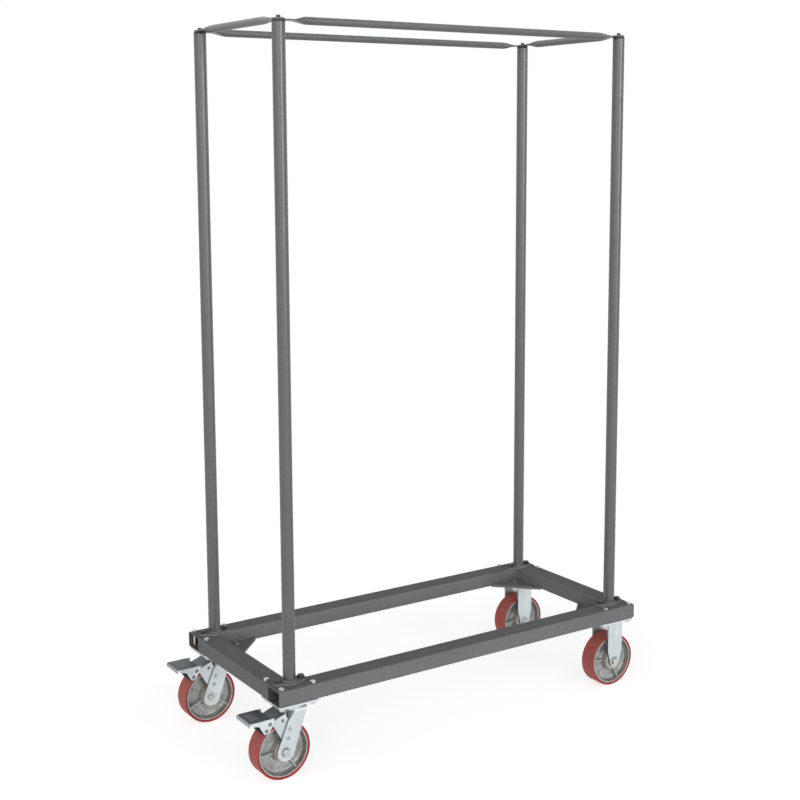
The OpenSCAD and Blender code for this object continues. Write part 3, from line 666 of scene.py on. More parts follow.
def paint(material, *nodes):
    """A better finish for solids that stay as they are."""
    for node in nodes:
        mesh = frame["nodes"][node].data
        mesh.materials.clear()
        mesh.materials.append(material)


paint(pin_steel, *(f"{side}_swivel_balls" for side in sides))


# Forks
# Each fork is one steel sheet, bent down at both sides of its crown and zinc plated. The swivel
# forks lean back to the axle, curl in at a neck under the crown, whose zinc is painted darker as
# shade, and turn in a dust ring. The fixed ones have a shallow V pressed into each leg.
def touch(point, centre, r, side):
    """Where a line from a point touches a round, on one side of it."""
    away = Vector(point) - Vector(centre)
    a = math.atan2(away.y, away.x) + side * math.acos(r / away.length)
    return Vector(centre) + r * Vector((math.cos(a), math.sin(a)))


def leg_edge(points, foot, r, side):
    """The X of a leg's edge at a height: along the points, then a straight side, then the round foot."""
    points = [Vector(p) for p in points] + [touch(points[-1], foot, r, side)]

    def at(z):
        for upper, lower in zip(points, points[1:]):
            if z >= lower.y:
                return lower.x + (upper.x - lower.x) * (z - lower.y) / max(1e-9, upper.y - lower.y)
        return foot[0] - side * math.sqrt(max(0.0, r * r - (z - foot[1]) ** 2))
    return at


fork_half = 0.035
fork_t = 0.005
fork_edge = 0.0008
bend_r = 0.009
crown_rows = 8
leg_rows = 40
sheet_columns = 22
flare_columns = 8
flare_power = 1.6
neck_shade_depth = 0.0035


def fork_sheet(top, foot, foot_r, legs, crown, flare=(0, 0, 0), dent=None):
    """The outer skin of a fork: rows run over the crown from foot to foot, and columns from back to front."""
    leg_back, leg_front = legs
    crown_back, crown_front = crown
    flare_out, flare_in, flare_low = flare
    flat = fork_half - bend_r
    bend_z = top - bend_r
    half = []
    for n in range(crown_rows + 1):
        y = flat * n / crown_rows
        half.append((y, top, 0, 1, crown_back(y), crown_front(y), 0, 0))
    bends = [(math.sin(a), math.cos(a)) for a in (math.radians(d) for d in (15, 30, 45, 60, 75, 90))]
    heights = [bend_z - (bend_z - foot[1]) * n / leg_rows for n in range(1, leg_rows + 1)]
    heights += [foot[1] - foot_r * math.sin(math.radians(a)) for a in range(6, 91, 6)]
    rows = [(flat + bend_r * out, bend_z + bend_r * up, out, up) for out, up in bends]
    rows += [(fork_half, z, 1, 0) for z in heights]
    for y, z, out, up in rows:
        left = max(0, (z - flare_low) / (top - flare_low))
        width = flare_out * left ** flare_power + flare_in * left
        curl = width * math.sin(math.pi * min(0.5, 1 - left))
        half.append((y, z, out, up, leg_back(z) + flare_in * left, leg_front(z), width, curl))
    made = bmesh.new()
    # The neck layer is painted shade: it darkens the sheet where it curls in under the crown.
    neck = made.verts.layers.float.new("neck")
    lines = []
    for hand, line in [(-1, row) for row in reversed(half)] + [(1, row) for row in half[1:]]:
        y, z, out, up, x_back, x_front, width, curl = line
        verts = []
        for n in range(flare_columns):
            v = 1 - n / flare_columns
            into = curl * v * v
            verts.append(made.verts.new((x_back - width * v, hand * (y - out * into), z - up * into)))
            verts[-1][neck] = min(1, v * curl / neck_shade_depth)
        for n in range(sheet_columns + 1):
            x = x_back + (x_front - x_back) * n / sheet_columns
            into = dent(x, z) if dent and z < top - bend_r / 2 else 0
            verts.append(made.verts.new((x, hand * (y - out * into), z - up * into)))
        lines.append(verts)
    for line, after in zip(lines, lines[1:]):
        for n in range(len(line) - 1):
            made.faces.new((line[n], line[n + 1], after[n + 1], after[n]))
    bmesh.ops.remove_doubles(made, verts=made.verts, dist=merge_gap)
    mesh = bpy.data.meshes.new("sheet")
    made.to_mesh(mesh)
    made.free()
    return mesh


# The cut sides of the sheets are painted dark, as shade.
shaded_cut_edge = zinc_plate("shaded_cut_edge", (0.25, 0.27, 0.295), rough=0.50)


def add_sheet(name, mesh, material, body, nodes, wall):
    """A piece of bent sheet: its skin gets a wall inwards, cut sides painted dark as shade, and a soft edge.
    """
    piece = add_piece(name, mesh, material, body, nodes, crease=35)
    thick = piece.modifiers.new("wall", "SOLIDIFY")
    thick.thickness = wall
    thick.offset = -1
    thick.material_offset_rim = 1
    mesh.materials.append(shaded_cut_edge)
    soften(piece, fork_edge, 50)
    piece.modifiers.move(0, len(piece.modifiers) - 1)


def dull_or_shade_by(name):
    """A dark mask that is read from an attribute of the mesh. It marks duller parts, and at the fork necks it
    is painted shade.
    """
    return lambda spot: spot.attribute(name)


# Its dull mask paints shade into the curled neck of the swivel forks.
fork_zinc = zinc_plate("fork_zinc", (0.545, 0.585, 0.601), rough=0.46, dull=dull_or_shade_by("neck"))
swivel_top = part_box("front_swivel_fork")[1].z
axle_z = joint_at["front_swivel_wheel_spin"].z
trail = joint_at["front_swivel_turn"].x - joint_at["front_swivel_wheel_spin"].x
axle = (-trail, axle_z)
swivel_foot_r = 0.024
back_x = -0.010
front_x = 0.031
crown_r = 0.035
flare_in = 0.013
flare_low = 0.145


def round_crown(y):
    """How far the swivel fork's round crown reaches from its middle line, at a distance across it."""
    return math.sqrt(crown_r ** 2 - y ** 2)


neck = (round_crown(fork_half - bend_r) + back_x, flare_in, flare_low)
swivel_legs = [leg_edge([(x, swivel_top)], axle, swivel_foot_r, turn)
               for x, turn in ((back_x, 1), (front_x, -1))]
swivel_crown = (lambda y: -round_crown(y), lambda y: max(front_x, round_crown(y)))
ring_in = race_r + 0.0006
ring_out = race_r + 0.0017
ring_low = swivel_top - 0.0045
ring_high = plate_z - 0.0015
ring_edge = 0.0005
ring_outline = rounded(corners_of((ring_in, ring_low), (ring_out, ring_high)), ring_edge)
for side, place in swivel_places.items():
    sheet = fork_sheet(swivel_top, axle, swivel_foot_r, swivel_legs, swivel_crown, neck)
    add_sheet(f"{side}_swivel_fork_sheet", placed(sheet, place), fork_zinc, f"{side}_swivel",
              [f"{side}_swivel_fork"], fork_t)
    ring = placed(lathe(ring_outline), place)
    add_piece(f"{side}_swivel_dust_ring", ring, fork_zinc, f"{side}_swivel", [])

fixed_leg_half = 0.026
fixed_knee_z = axle_z + 0.032
fixed_foot_r = 0.017
fixed_axle = (0, axle_z)
press_half = 0.0155
press_high = 0.180
press_low = 0.115
press_depth = 0.0007
press_slope = 1.8
press_power = 1.5


def pressed_v(x, z):
    """How far the V is pressed in: deepest along its middle, and running out at its top and its point."""
    if z <= press_low:
        return 0
    across = 1 - abs(x) / (press_half * min(1, (z - press_low) / (press_high - press_low)))
    fade = min(1, max(0, (plate_z - z) / (plate_z - press_high)))
    return press_depth * fade * min(1, max(0, across * press_slope)) ** press_power


fixed_legs = [leg_edge([(x, plate_z), (x, fixed_knee_z)], fixed_axle, fixed_foot_r, turn)
              for x, turn in ((-fixed_leg_half, 1), (fixed_leg_half, -1))]
fixed_crown = (lambda y: -fixed_leg_half, lambda y: fixed_leg_half)
fixed_sheets = []
for place in fixed_places.values():
    sheet = fork_sheet(plate_z, fixed_axle, fixed_foot_r, fixed_legs, fixed_crown, dent=pressed_v)
    fixed_sheets.append(placed(sheet, place))
add_sheet("fixed_fork_sheets", joined(fixed_sheets), fork_zinc, "frame", ["fixed_forks"], fork_t)


# Wheels
# A cast iron core with a deep greasy hub, a thin web and three ribs, and a moulded red polyurethane
# tread. The rim's sides are machined bright, the ribs' outer faces are painted pale as a highlight,
# and the running face is dull with dust. Two bearings carry each wheel on the sleeve of its axle.
def mark(mesh, name, low=0.0, high=math.inf):
    """An attribute that a material can read: 1 on the points between two radii from the axle."""
    layer = mesh.attributes.new(name, "FLOAT", "POINT")
    radii = [math.hypot(vert.co.x, vert.co.y) for vert in mesh.vertices]
    layer.data.foreach_set("value", [float(low < r < high) for r in radii])
    return mesh


cast_tones = ((0.27, 0.267, 0.260), (0.43, 0.43, 0.425))
sand_light = (0.62, 0.62, 0.62)
sand_dark = (0.13, 0.127, 0.12)
grease_colour = (0.42, 0.39, 0.345)
machined_and_highlight_colour = (0.42, 0.46, 0.445)
sand_grain = 240
stain_patch = 45
cast_iron, spot, shader = finish("cast_iron", {"Metallic": 0.5})
sand = noise(spot, sand_grain, detail=5.0, rough=0.7)
stain = noise(spot, stain_patch, detail=5.0, rough=0.6).ramp(0.30, 0.70)
# This mask is the machined rim ring, and a painted highlight on the rib faces.
machined = spot.attribute("machined")
greasy = spot.attribute("greasy") * (0.55 + 0.45 * stain)
cast_colour = stain.mix(*cast_tones)
cast_colour = (sand.ramp(0.52, 0.70) * 0.60).mix(cast_colour, sand_light)
cast_colour = ((1 - sand.ramp(0.34, 0.50)) * 0.60).mix(cast_colour, sand_dark)
cast_colour = greasy.mix(cast_colour, grease_colour)
cast_colour = machined.mix(cast_colour, machined_and_highlight_colour)
cast_height = (sand + 0.8 * stain) * (1 - machined)
cast_rough = 0.50 - 0.08 * stain - 0.14 * machined
dress(shader, cast_colour, cast_rough, cast_height, strength=0.30, distance=0.0012)

tread_tones = ((0.30, 0.015, 0.016), (0.37, 0.021, 0.021))
dust_colour = (0.42, 0.120, 0.095)
speck_colour = (0.34, 0.24, 0.21)
tread_cloud = 30
scuff_patch = 55
tread_pore = 500
speck_grain = 900
tread_red, spot, shader = finish("tread_red", {"Specular IOR Level": 0.45})
running = spot.attribute("running")
scuff = noise(spot, scuff_patch, detail=6.0, rough=0.65).ramp(0.36, 0.64)
dust = running * (0.40 + 0.55 * scuff)
speck = noise(spot, speck_grain, detail=2.0).ramp(0.62, 0.74) * running
tread_colour = noise(spot, tread_cloud, detail=3.0).mix(*tread_tones)
tread_colour = dust.mix(tread_colour, dust_colour)
tread_colour = (speck * 0.4).mix(tread_colour, speck_colour)
tread_height = noise(spot, tread_pore, detail=4.0) + 0.8 * scuff * running
dress(shader, tread_colour, 0.34 + 0.38 * dust, tread_height, strength=0.22, distance=0.0008)

wheel_r = axle_z
wheel_half = 0.025
tread_t = 0.0068
tread_edge = 0.0020
running_t = 0.0012
rim_setback = 0.002
rim_out = wheel_r - tread_t
rim_in = rim_out - 0.0035
rim_half = wheel_half - rim_setback
rim_line = 0.0020
rim_fade = 0.0003
web_half = 0.006
hub_r = 0.027
hub_half = 0.029
bore_r = 0.01703
draft = 0.0025


def both_sides(half, rounds):
    """A wheel's whole outline of radius and width from one half of it."""
    return rounded(half + [(r, -y) for r, y in reversed(half)], rounds + rounds[::-1])


core_half = [(bore_r, hub_half), (hub_r, hub_half), (hub_r + draft, web_half), (rim_in - draft, web_half),
             (rim_in, rim_half), (rim_out - rim_line - rim_fade, rim_half), (rim_out - rim_line, rim_half),
             (rim_out, rim_half)]
core_outline = both_sides(core_half, [0.0006, 0.0022, 0.004, 0.007, 0.0012, 0, 0, 0.0003])
tread_half = [(rim_out, rim_half), (rim_out + rim_setback, wheel_half), (wheel_r - tread_edge, wheel_half),
              (wheel_r, wheel_half - tread_edge)]
tread_outline = both_sides(tread_half, [0, 0.0008, 0.0012, 0.0012])

rib_tree, rib = tree_with("wheel_ribs", ["First turn", "Inner radius", "Outer radius", "Thickness", "Depth",
                                         "Draft", "Painted highlight"])
rib_count = 3
start = rib["Geometry"]
rib_l = rib["Outer radius"] - rib["Inner radius"]
rib_size = start.xyz(X=rib_l, Y=rib["Thickness"], Z=rib["Depth"])
bar = start.node("GeometryNodeMeshCube", {"Size": rib_size, "Vertices X": 6, "Vertices Z": 3})
spot = start.node("GeometryNodeInputPosition")
x, y, z = (spot.axis(name) for name in "XYZ")
depth = abs(z) / rib["Depth"]
# Painted highlight: the rib's outer faces take the machined value, so the cast iron is painted pale there.
bar = start.node("GeometryNodeStoreNamedAttribute",
                 {"Geometry": bar, "Name": "machined", "Value": depth.ramp(0.45, 0.5) * rib["Painted highlight"]},
                 data_type="FLOAT")
drafted = start.xyz(X=x + rib["Inner radius"] + rib_l / 2, Y=y * (1 - rib["Draft"] * depth), Z=z)
bar = start.node("GeometryNodeSetPosition", {"Geometry": bar, "Position": drafted})
spots = start.node("GeometryNodePoints", {"Count": rib_count})
turn = rib["First turn"] + start.node("GeometryNodeInputIndex") * (2 * math.pi / rib_count)
ribs = start.node("GeometryNodeInstanceOnPoints",
                  {"Points": spots, "Instance": bar, "Rotation": start.xyz(Z=turn)})
close_tree(start.node("GeometryNodeJoinGeometry", {"Geometry": [start, ribs]}), rib["Material"])
rib_setback = 0.005
rib_edge = 0.0007
rib_sizes = {"Inner radius": hub_r - draft, "Outer radius": rim_in + draft, "Thickness": 0.0065,
             "Depth": 2 * (rim_half - rib_setback), "Draft": 0.6, "Painted highlight": 0.8}
rib_turns = {"front_swivel": 65, "rear_swivel": 85, "front_fixed": 55, "rear_fixed": 65}

face_out = frame_of((1, 0, 0), (0, 0, 1), (0, -1, 0), (0, 0, axle_z))
for wheel, turn in rib_turns.items():
    place = caster_place(f"{wheel}_wheel_spin", sides[wheel.split("_")[0]]) @ face_out
    core = mark(lathe(core_outline), "machined", low=rim_out - rim_line - rim_fade / 2)
    core = mark(core, "greasy", high=hub_r + draft + rim_fade)
    core = grown(rib_tree, core, cast_iron, dict(rib_sizes, **{"First turn": math.radians(turn)}))
    add_piece(f"{wheel}_wheel_core", placed(core, place), cast_iron, f"{wheel}_wheel",
              [f"{wheel}_core"], bevel=rib_edge)
    tread = mark(lathe(tread_outline, turns=128), "running", low=wheel_r - running_t)
    add_piece(f"{wheel}_wheel_tread", placed(tread, place), tread_red, f"{wheel}_wheel",
              [f"{wheel}_tread"])

bearing_steel = zinc_plate("bearing_steel", (0.42, 0.42, 0.42), rough=0.38)
paint(bearing_steel, *(f"{wheel}_bearings" for wheel in rib_turns))
paint(bearing_steel, "fixed_axle_sleeves", *(f"{side}_swivel_axle_sleeve" for side in sides))


# Axle bolts
# A zinc-plated hexagon bolt carries each wheel. Its head sits on a dull washer on the outer leg of
# the fork, and a nut closes it on the inner leg with a little thread to spare.
def moved(places, matrix):
    """Points and directions taken along by a matrix."""
    return [(matrix @ Vector(at), matrix.to_3x3() @ Vector(axis)) for at, axis in places]


def on_cheeks(points, half, hands=(-1, 1)):
    """Places on a caster's cheeks for points of its side view, each with the direction outwards."""
    return [((x, hand * half, z), (0, hand, 0)) for x, z in points for hand in hands]


def fastened(tree, places, material, sizes):
    """The mesh of fasteners that a tree makes, one at each place and along its direction."""
    mesh = bpy.data.meshes.new("seeds")
    mesh.from_pydata([tuple(at) for at, axis in places], [], [])
    layer = mesh.attributes.new("axis", "FLOAT_VECTOR", "POINT")
    layer.data.foreach_set("vector", [value for at, axis in places for value in axis])
    return grown(tree, mesh, material, sizes)


hex_sides = 6
hex_turn = 2 * math.pi / hex_sides
thread_sides = 16
round_sides = 32
cone_sides = 48


def lifted(shape, height, **how):
    """A shape in a tree, lifted by a height and turned or scaled as told."""
    return shape.node("GeometryNodeTransform", {"Geometry": shape, "Translation": shape.xyz(Z=height), **how})


def rod(corners, radius, low, high):
    """A cylinder in a tree, upright from a low to a high."""
    bar = radius.node("GeometryNodeMeshCylinder",
                      {"Vertices": corners, "Radius": radius, "Depth": high - low})
    return lifted(bar, (high + low) / 2)


def worn(shape, name, value):
    """A shape in a tree, with a value that a dull mask reads."""
    return shape.node("GeometryNodeStoreNamedAttribute", {"Geometry": shape, "Name": name, "Value": value},
                      data_type="FLOAT")


def stood(shapes, seeds, seed):
    """Copies of shapes on the seeds, stood along each one's axis with a turn of its own."""
    whole = seeds.node("GeometryNodeJoinGeometry", {"Geometry": shapes})
    axis = seeds.node("GeometryNodeInputNamedAttribute", {"Name": "axis"}, data_type="FLOAT_VECTOR")
    stand = seeds.node("FunctionNodeAlignRotationToVector", {"Vector": axis}, axis="Z")
    spin = seeds.node("FunctionNodeRandomValue", {"Max_001": hex_turn, "Seed": seed}, "Value_001",
                      data_type="FLOAT")
    stand = seeds.node("FunctionNodeRotateRotation", {"Rotation": stand, "Rotate By": seeds.xyz(Z=spin)},
                       rotation_space="LOCAL")
    return seeds.node("GeometryNodeInstanceOnPoints", {"Points": seeds, "Instance": whole, "Rotation": stand})


corner_share = 1 / (2 * math.cos(math.radians(30)))
crown_share = 0.475
crown_slope = math.tan(math.radians(60))


def hexagon(flats, low, high, under):
    """A hexagon whose corners are turned off above, and below too where under is true."""
    tall = high - low
    crown = flats * crown_share
    cone = flats.node("GeometryNodeMeshCone", {"Vertices": cone_sides, "Depth": tall, "Radius Top": crown,
                                               "Radius Bottom": crown + tall * crown_slope})
    shapes = [rod(hex_sides, flats * corner_share, low, high), lifted(cone, low)]
    if under:
        shapes.append(lifted(cone, high, Rotation=(math.pi, 0, 0)))
    return flats.node("GeometryNodeMeshBoolean", {"Mesh 2": shapes}, operation="INTERSECT", solver="EXACT")


bolt_tree, bolt = tree_with("hex_bolts", ["Across flats", "Head height", "Washer height", "Washer diameter",
                                          "Thread diameter", "Thread pitch", "Shank length"])
start = bolt["Geometry"]
pitch = bolt["Thread pitch"]
thread_r = bolt["Thread diameter"] / 2
thread_depth = pitch * 0.4
ridge_half = pitch * 0.3
washer_dull = 0.7
head = hexagon(bolt["Across flats"], bolt["Washer height"], bolt["Head height"], under=False)
washer = rod(round_sides, bolt["Washer diameter"] / 2, 0, bolt["Washer height"])
washer = worn(washer, "washer", washer_dull)
shank = rod(thread_sides, thread_r - thread_depth, -bolt["Shank length"], bolt["Washer height"])
ridge = rod(thread_sides, thread_r, -ridge_half, ridge_half)
ridge_line = start.node("GeometryNodeMeshLine", {"Count": math.floor(bolt["Shank length"] / pitch),
                                                 "Offset": start.xyz(Z=-pitch),
                                                 "Start Location": start.xyz(Z=pitch * -0.5)})
thread = start.node("GeometryNodeInstanceOnPoints", {"Points": ridge_line, "Instance": ridge})
close_tree(stood([head, washer, shank, thread], start, seed=3), bolt["Material"])

nut_tree, nut = tree_with("hex_nuts", ["Across flats", "Height"])
start = nut["Geometry"]
blank = hexagon(nut["Across flats"], 0, nut["Height"], under=True)
close_tree(stood([blank], start, seed=5), nut["Material"])

axle_zinc = zinc_plate("axle_zinc", (0.54, 0.545, 0.535), rough=0.28, dull=dull_or_shade_by("washer"))
axle_spare = 0.0125
axle_sizes = {"Across flats": 0.019, "Head height": 0.0075, "Washer height": 0.0012,
              "Washer diameter": 0.024, "Thread diameter": 0.012, "Thread pitch": 0.00175,
              "Shank length": 2 * fork_half + axle_spare}
axle_nut_sizes = {"Across flats": 0.019, "Height": 0.010}
axle_kit = ((bolt_tree, axle_sizes, -1), (nut_tree, axle_nut_sizes, 1))


def add_axles(names, body, nodes, at, places):
    """The bolts and the nuts on the axles of casters that ride on one body."""
    for name, node, (tree, sizes, hand) in zip(names, nodes, axle_kit):
        ends = [end for place in places for end in moved(on_cheeks([at], fork_half, [hand]), place)]
        add_piece(name, fastened(tree, ends, axle_zinc, sizes), axle_zinc, body, [node],
                  crease=30)


for side, place in swivel_places.items():
    add_axles((f"{side}_swivel_axle", f"{side}_swivel_nut"), f"{side}_swivel",
              (f"{side}_swivel_axle_bolt", f"{side}_swivel_axle_nut"), axle, [place])
add_axles(("fixed_axles", "fixed_nuts"), "frame", ("fixed_axle_bolts", "fixed_axle_nuts"), fixed_axle,
          fixed_places.values())

# Caster bolts
# Four zinc-plated bolts go down through the rails, or the gusset, and through each plate. Their
# nuts sit under the plate.
bright_zinc = zinc_plate("bright_zinc", (0.64, 0.62, 0.57), rough=0.30)
bolt_l = 0.089
bolt_w = 0.078
tail = 0.009
caster_sizes = {"Across flats": 0.013, "Head height": 0.0055, "Washer height": 0.0008,
                "Washer diameter": 0.0124, "Thread diameter": 0.008, "Thread pitch": 0.00125}
caster_nut_sizes = {"Across flats": 0.013, "Height": 0.0065}
bolt_places = {gusset_high.z: [], rail_high.z: []}
nut_places = []
for place in [*fixed_places.values(), *swivel_places.values()]:
    for x_side, y_side in quarters:
        at = place @ Vector((x_side * bolt_l / 2, y_side * bolt_w / 2, plate_z))
        nut_places.append((at, (0, 0, -1)))
        inner = abs(at.x - base_x) < gusset_high.x - base_x and abs(at.y) < gusset_high.y
        seat = gusset_high.z if inner else rail_high.z
        bolt_places[seat].append(((at.x, at.y, seat), (0, 0, 1)))
bolt_meshes = []
for seat, places in bolt_places.items():
    sizes = dict(caster_sizes, **{"Shank length": seat - plate_z + tail})
    bolt_meshes.append(fastened(bolt_tree, places, bright_zinc, sizes))
add_piece("caster_plate_bolts", joined(bolt_meshes), bright_zinc, "frame", ["caster_bolts"],
          crease=30)
add_piece("caster_plate_nuts", fastened(nut_tree, nut_places, bright_zinc, caster_nut_sizes), bright_zinc,
          "frame", ["caster_nuts"], crease=30)


# Brake brackets
# A folded steel sheet between the legs of each swivel fork: two cheeks riveted to the legs, and a
# sloping plate over the wheel. It carries the pedal's pivot and is darker and duller on top.
def upright(y):
    """From a drawing of a caster's side view to its place, with the back face at y."""
    return frame_of((1, 0, 0), (0, 0, 1), (0, -1, 0), (0, y, 0))


bracket_edge = 0.0006


def cheeks(outline, wall, half):
    """Two upright plates of one outline, with their outer faces at half a width from the middle."""
    return [placed(slab([outline], wall, bracket_edge), upright(y)) for y in (wall - half, half)]


def near(point, *steps):
    """Corners at steps of X and Z from a point of the side view, in millimetres."""
    return [(point[0] + x / 1000, point[1] + z / 1000) for x, z in steps]


swivel_x = joint_at["front_swivel_turn"].x
pivot = (joint_at["front_pedal_press"].x - swivel_x, joint_at["front_pedal_press"].z)
rivet_shares = (0.325, 0.53)
rivets = [(axle[0] + share * (back_x - axle[0]), axle[1] + share * (swivel_top - axle[1]))
          for share in rivet_shares]
bracket_t = 0.0025
bracket_half = fork_half - fork_t
fold_edge = 0.0011
slope_corner = 0.0015
(bracket_back,) = near(pivot, (14, 4))
(bracket_front,) = near((back_x, swivel_top), (-20, -10))
slope_middle = ((bracket_back[0] + bracket_front[0]) / 2, (bracket_back[1] + bracket_front[1]) / 2)
(stop_rivet,) = near(slope_middle, (8, -11))
cheek_corners = near(pivot, (-8.5, 8.5), (-9, -8.5), (12, -10))
cheek_corners += near(rivets[0], (-16, -3), (-1, -9), (8, -2)) + near(rivets[1], (8, 4))
cheek_corners += [bracket_front, bracket_back] + near(pivot, (4, 9))
cheek_rounds = [0.0075, 0.0075, 0.006, 0.003, 0.005, 0.006, 0.006, 0.001, 0.001, 0.003]
bracket_cheek = rounded(cheek_corners, cheek_rounds)
slope = Vector((bracket_front[0] - bracket_back[0], 0, bracket_front[1] - bracket_back[1]))
slope_along = slope.normalized()
slope_up = slope_along.cross(Vector((0, 1, 0)))
slope_foot = Vector((bracket_back[0], 0, bracket_back[1])) - slope_up * bracket_t
slope_lie = frame_of(slope_along, (0, 1, 0), slope_up, slope_foot)
slope_outline = rounded(corners_of((0, -bracket_half), (slope.length, bracket_half)), slope_corner)
slope_dullness = 0.85
slope_face = (-0.0008, -0.0002)


def slope_dull(spot):
    """The upper face of the sloping plate, which is made darker and duller."""
    along = spot.axis("X") - (swivel_x + bracket_back[0])
    above = along * slope_up.x + (spot.axis("Z") - bracket_back[1]) * slope_up.z
    return slope_dullness * above.ramp(*slope_face)


bracket_zinc = zinc_plate("bracket_zinc", (0.58, 0.62, 0.64), rough=0.40, dull=slope_dull)
for side, place in swivel_places.items():
    parts = cheeks(bracket_cheek, bracket_t, bracket_half)
    parts.append(placed(slab([slope_outline], bracket_t, fold_edge), slope_lie))
    add_piece(f"{side}_brake_bracket_sheet", placed(joined(parts), place), bracket_zinc, f"{side}_swivel",
              [f"{side}_brake_bracket"])

# Bracket rivets
# Steel rivets with dished heads on thin collars, two through each leg, and a dark stop of the same
# kind in each cheek of the bracket.
rivet_tree, rivet = tree_with("dished_rivets", ["Head diameter", "Head height", "Dimple diameter",
                                                "Collar diameter", "Collar height"])
start = rivet["Geometry"]
ball = start.node("GeometryNodeMeshUVSphere", {"Segments": 32, "Rings": 16, "Radius": 1.0})


def domed(width, tall, lift):
    """A flattened ball in a tree, lifted from the seat."""
    return lifted(ball, lift, Scale=start.xyz(X=width / 2, Y=width / 2, Z=tall))


button_dull = 0.5
button = domed(rivet["Head diameter"], rivet["Head height"], 0)
dimple = domed(rivet["Dimple diameter"], rivet["Head height"] * 0.5, rivet["Head height"])
dished = start.node("GeometryNodeMeshBoolean", {"Mesh 1": button, "Mesh 2": dimple},
                    operation="DIFFERENCE", solver="EXACT")
collar = rod(round_sides, rivet["Collar diameter"] / 2, -rivet["Collar height"], rivet["Collar height"])
close_tree(stood([worn(dished, "button", button_dull), collar], start, seed=7), rivet["Material"])

rivet_zinc = zinc_plate("rivet_zinc", (0.48, 0.51, 0.525), rough=0.38, dull=dull_or_shade_by("button"))
dark_pin = zinc_plate("dark_pin", (0.20, 0.215, 0.230), rough=0.36)
rivet_sizes = {"Head diameter": 0.0088, "Head height": 0.0018, "Dimple diameter": 0.0046,
               "Collar diameter": 0.0135, "Collar height": 0.0006}
stop_sizes = dict(rivet_sizes, **{"Collar diameter": 0.0090})
for side, place in swivel_places.items():
    heads = fastened(rivet_tree, moved(on_cheeks(rivets, fork_half), place), rivet_zinc, rivet_sizes)
    add_piece(f"{side}_rivet_heads", heads, rivet_zinc, f"{side}_swivel",
              [f"{side}_bracket_rivets"])
    stops = fastened(rivet_tree, moved(on_cheeks([stop_rivet], bracket_half), place), dark_pin, stop_sizes)
    add_piece(f"{side}_stop_heads", stops, dark_pin, f"{side}_swivel", [])

# Brake pedals
# A pressed steel pad with a rolled lip and plain raised bars for grip, on two lobed cheeks. The
# cheeks hang outside the bracket, and the pad's upper face is painted darker as shade.
pedal_low, pedal_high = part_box("front_brake_pedal")
pedal_t = 0.0025
pad_half = (pedal_high.y - pedal_low.y) / 2
pad_top = pedal_high.z
pad_back = pedal_low.x - swivel_x
pad_front = pivot[0] + 0.003
lip_low = pad_top - 0.0100
pad_under = pad_top - pedal_t
pad_edge = 0.0007
pad_corners = [(pad_back, lip_low), (pad_back + pedal_t, lip_low), (pad_back + pedal_t, pad_under),
               (pad_front, pad_under), (pad_front, pad_top), (pad_back, pad_top)]
pad_side = rounded(pad_corners, [0.0008, 0.0008, 0.0030, 0.0008, 0.0012, 0.0052])
lobe_corners = near(pivot, (-48.5, 13.2), (-50.5, 8.5), (-47, 3.5), (-30, 1.2), (-20, -16.5), (-14.5, -25.2),
                    (-3, -22), (8.2, -5), (13, 13.2))
lobe_side = rounded(lobe_corners, [0.0012, 0.0035, 0.003, 0.010, 0.007, 0.0065, 0.006, 0.006, 0.0015])
bar_count = 5
bar_pitch = 0.0085
bar_l = 0.024
bar_w = 0.0030
bar_h = 0.0012
bar_edge = 0.6 * bar_h
bar_outline = box_outline(bar_l, bar_w, bar_w / 2)
bar_middle = (pad_back + 0.024, 0, pad_top - bar_h / 3)

bar_tree, grip = tree_with("grip_bars", ["Pitch"])
start = grip["Geometry"]
first_bar = start.xyz(Y=grip["Pitch"] * ((1 - bar_count) / 2))
row = start.node("GeometryNodeMeshLine", {"Count": bar_count, "Offset": start.xyz(Y=grip["Pitch"]),
                                          "Start Location": first_bar})
close_tree(start.node("GeometryNodeInstanceOnPoints", {"Points": row, "Instance": start}), grip["Material"])

# The pad's upper face is painted darker as shade, and its lip takes part of that painted shade.
lip_shade = 0.62
lip_fade = (0.002, 0.005)
pad_face = (-0.0016, -0.0004)
bar_face = (0.0003, 0.0006)
bar_rub = 0.55


def pad_shade(spot):
    """Painted shade on the pad's upper face. Its bars are rubbed paler, and its lip takes a lighter share of
    the painted shade.
    """
    up = spot.axis("Z") - pad_top
    lip = lip_shade - lip_shade * (spot.axis("X") - swivel_x - pad_back).ramp(*lip_fade)
    flat = up.ramp(*pad_face) * (1 - bar_rub * up.ramp(*bar_face))
    return flat.most(lip)


pedal_zinc = zinc_plate("pedal_zinc", (0.64, 0.685, 0.705), rough=0.40, dull=pad_shade)
for side, place in swivel_places.items():
    parts = cheeks(lobe_side, pedal_t, pad_half)
    parts.append(placed(slab([pad_side], 2 * pad_half, pad_edge), upright(pad_half)))
    bars = grown(bar_tree, slab([bar_outline], bar_h, bar_edge), pedal_zinc, {"Pitch": bar_pitch})
    parts.append(placed(bars, Matrix.Translation(bar_middle)))
    add_piece(f"{side}_brake_pedal_sheet", placed(joined(parts), place), pedal_zinc, f"{side}_pedal",
              [f"{side}_brake_pedal"])

# Brake pins
# The pedal turns on a steel pin through the bracket, with a collar that keeps each cheek off it. A
# second pin holds the shoe. Both are riveted over outside the cheeks.
(shoe_pin,) = near(pivot, (-9.85, -15.22))
pivot_pin_r = 0.004
shoe_pin_r = 0.003
pin_edge = 0.0005
collar_r = 0.0065
collar_in = bracket_half + 0.0003
collar_out = pad_half - pedal_t
pin_sizes = {"Head diameter": 0.0090, "Head height": 0.0020, "Dimple diameter": 0.0046,
             "Collar diameter": 0.0100, "Collar height": 0.0005}


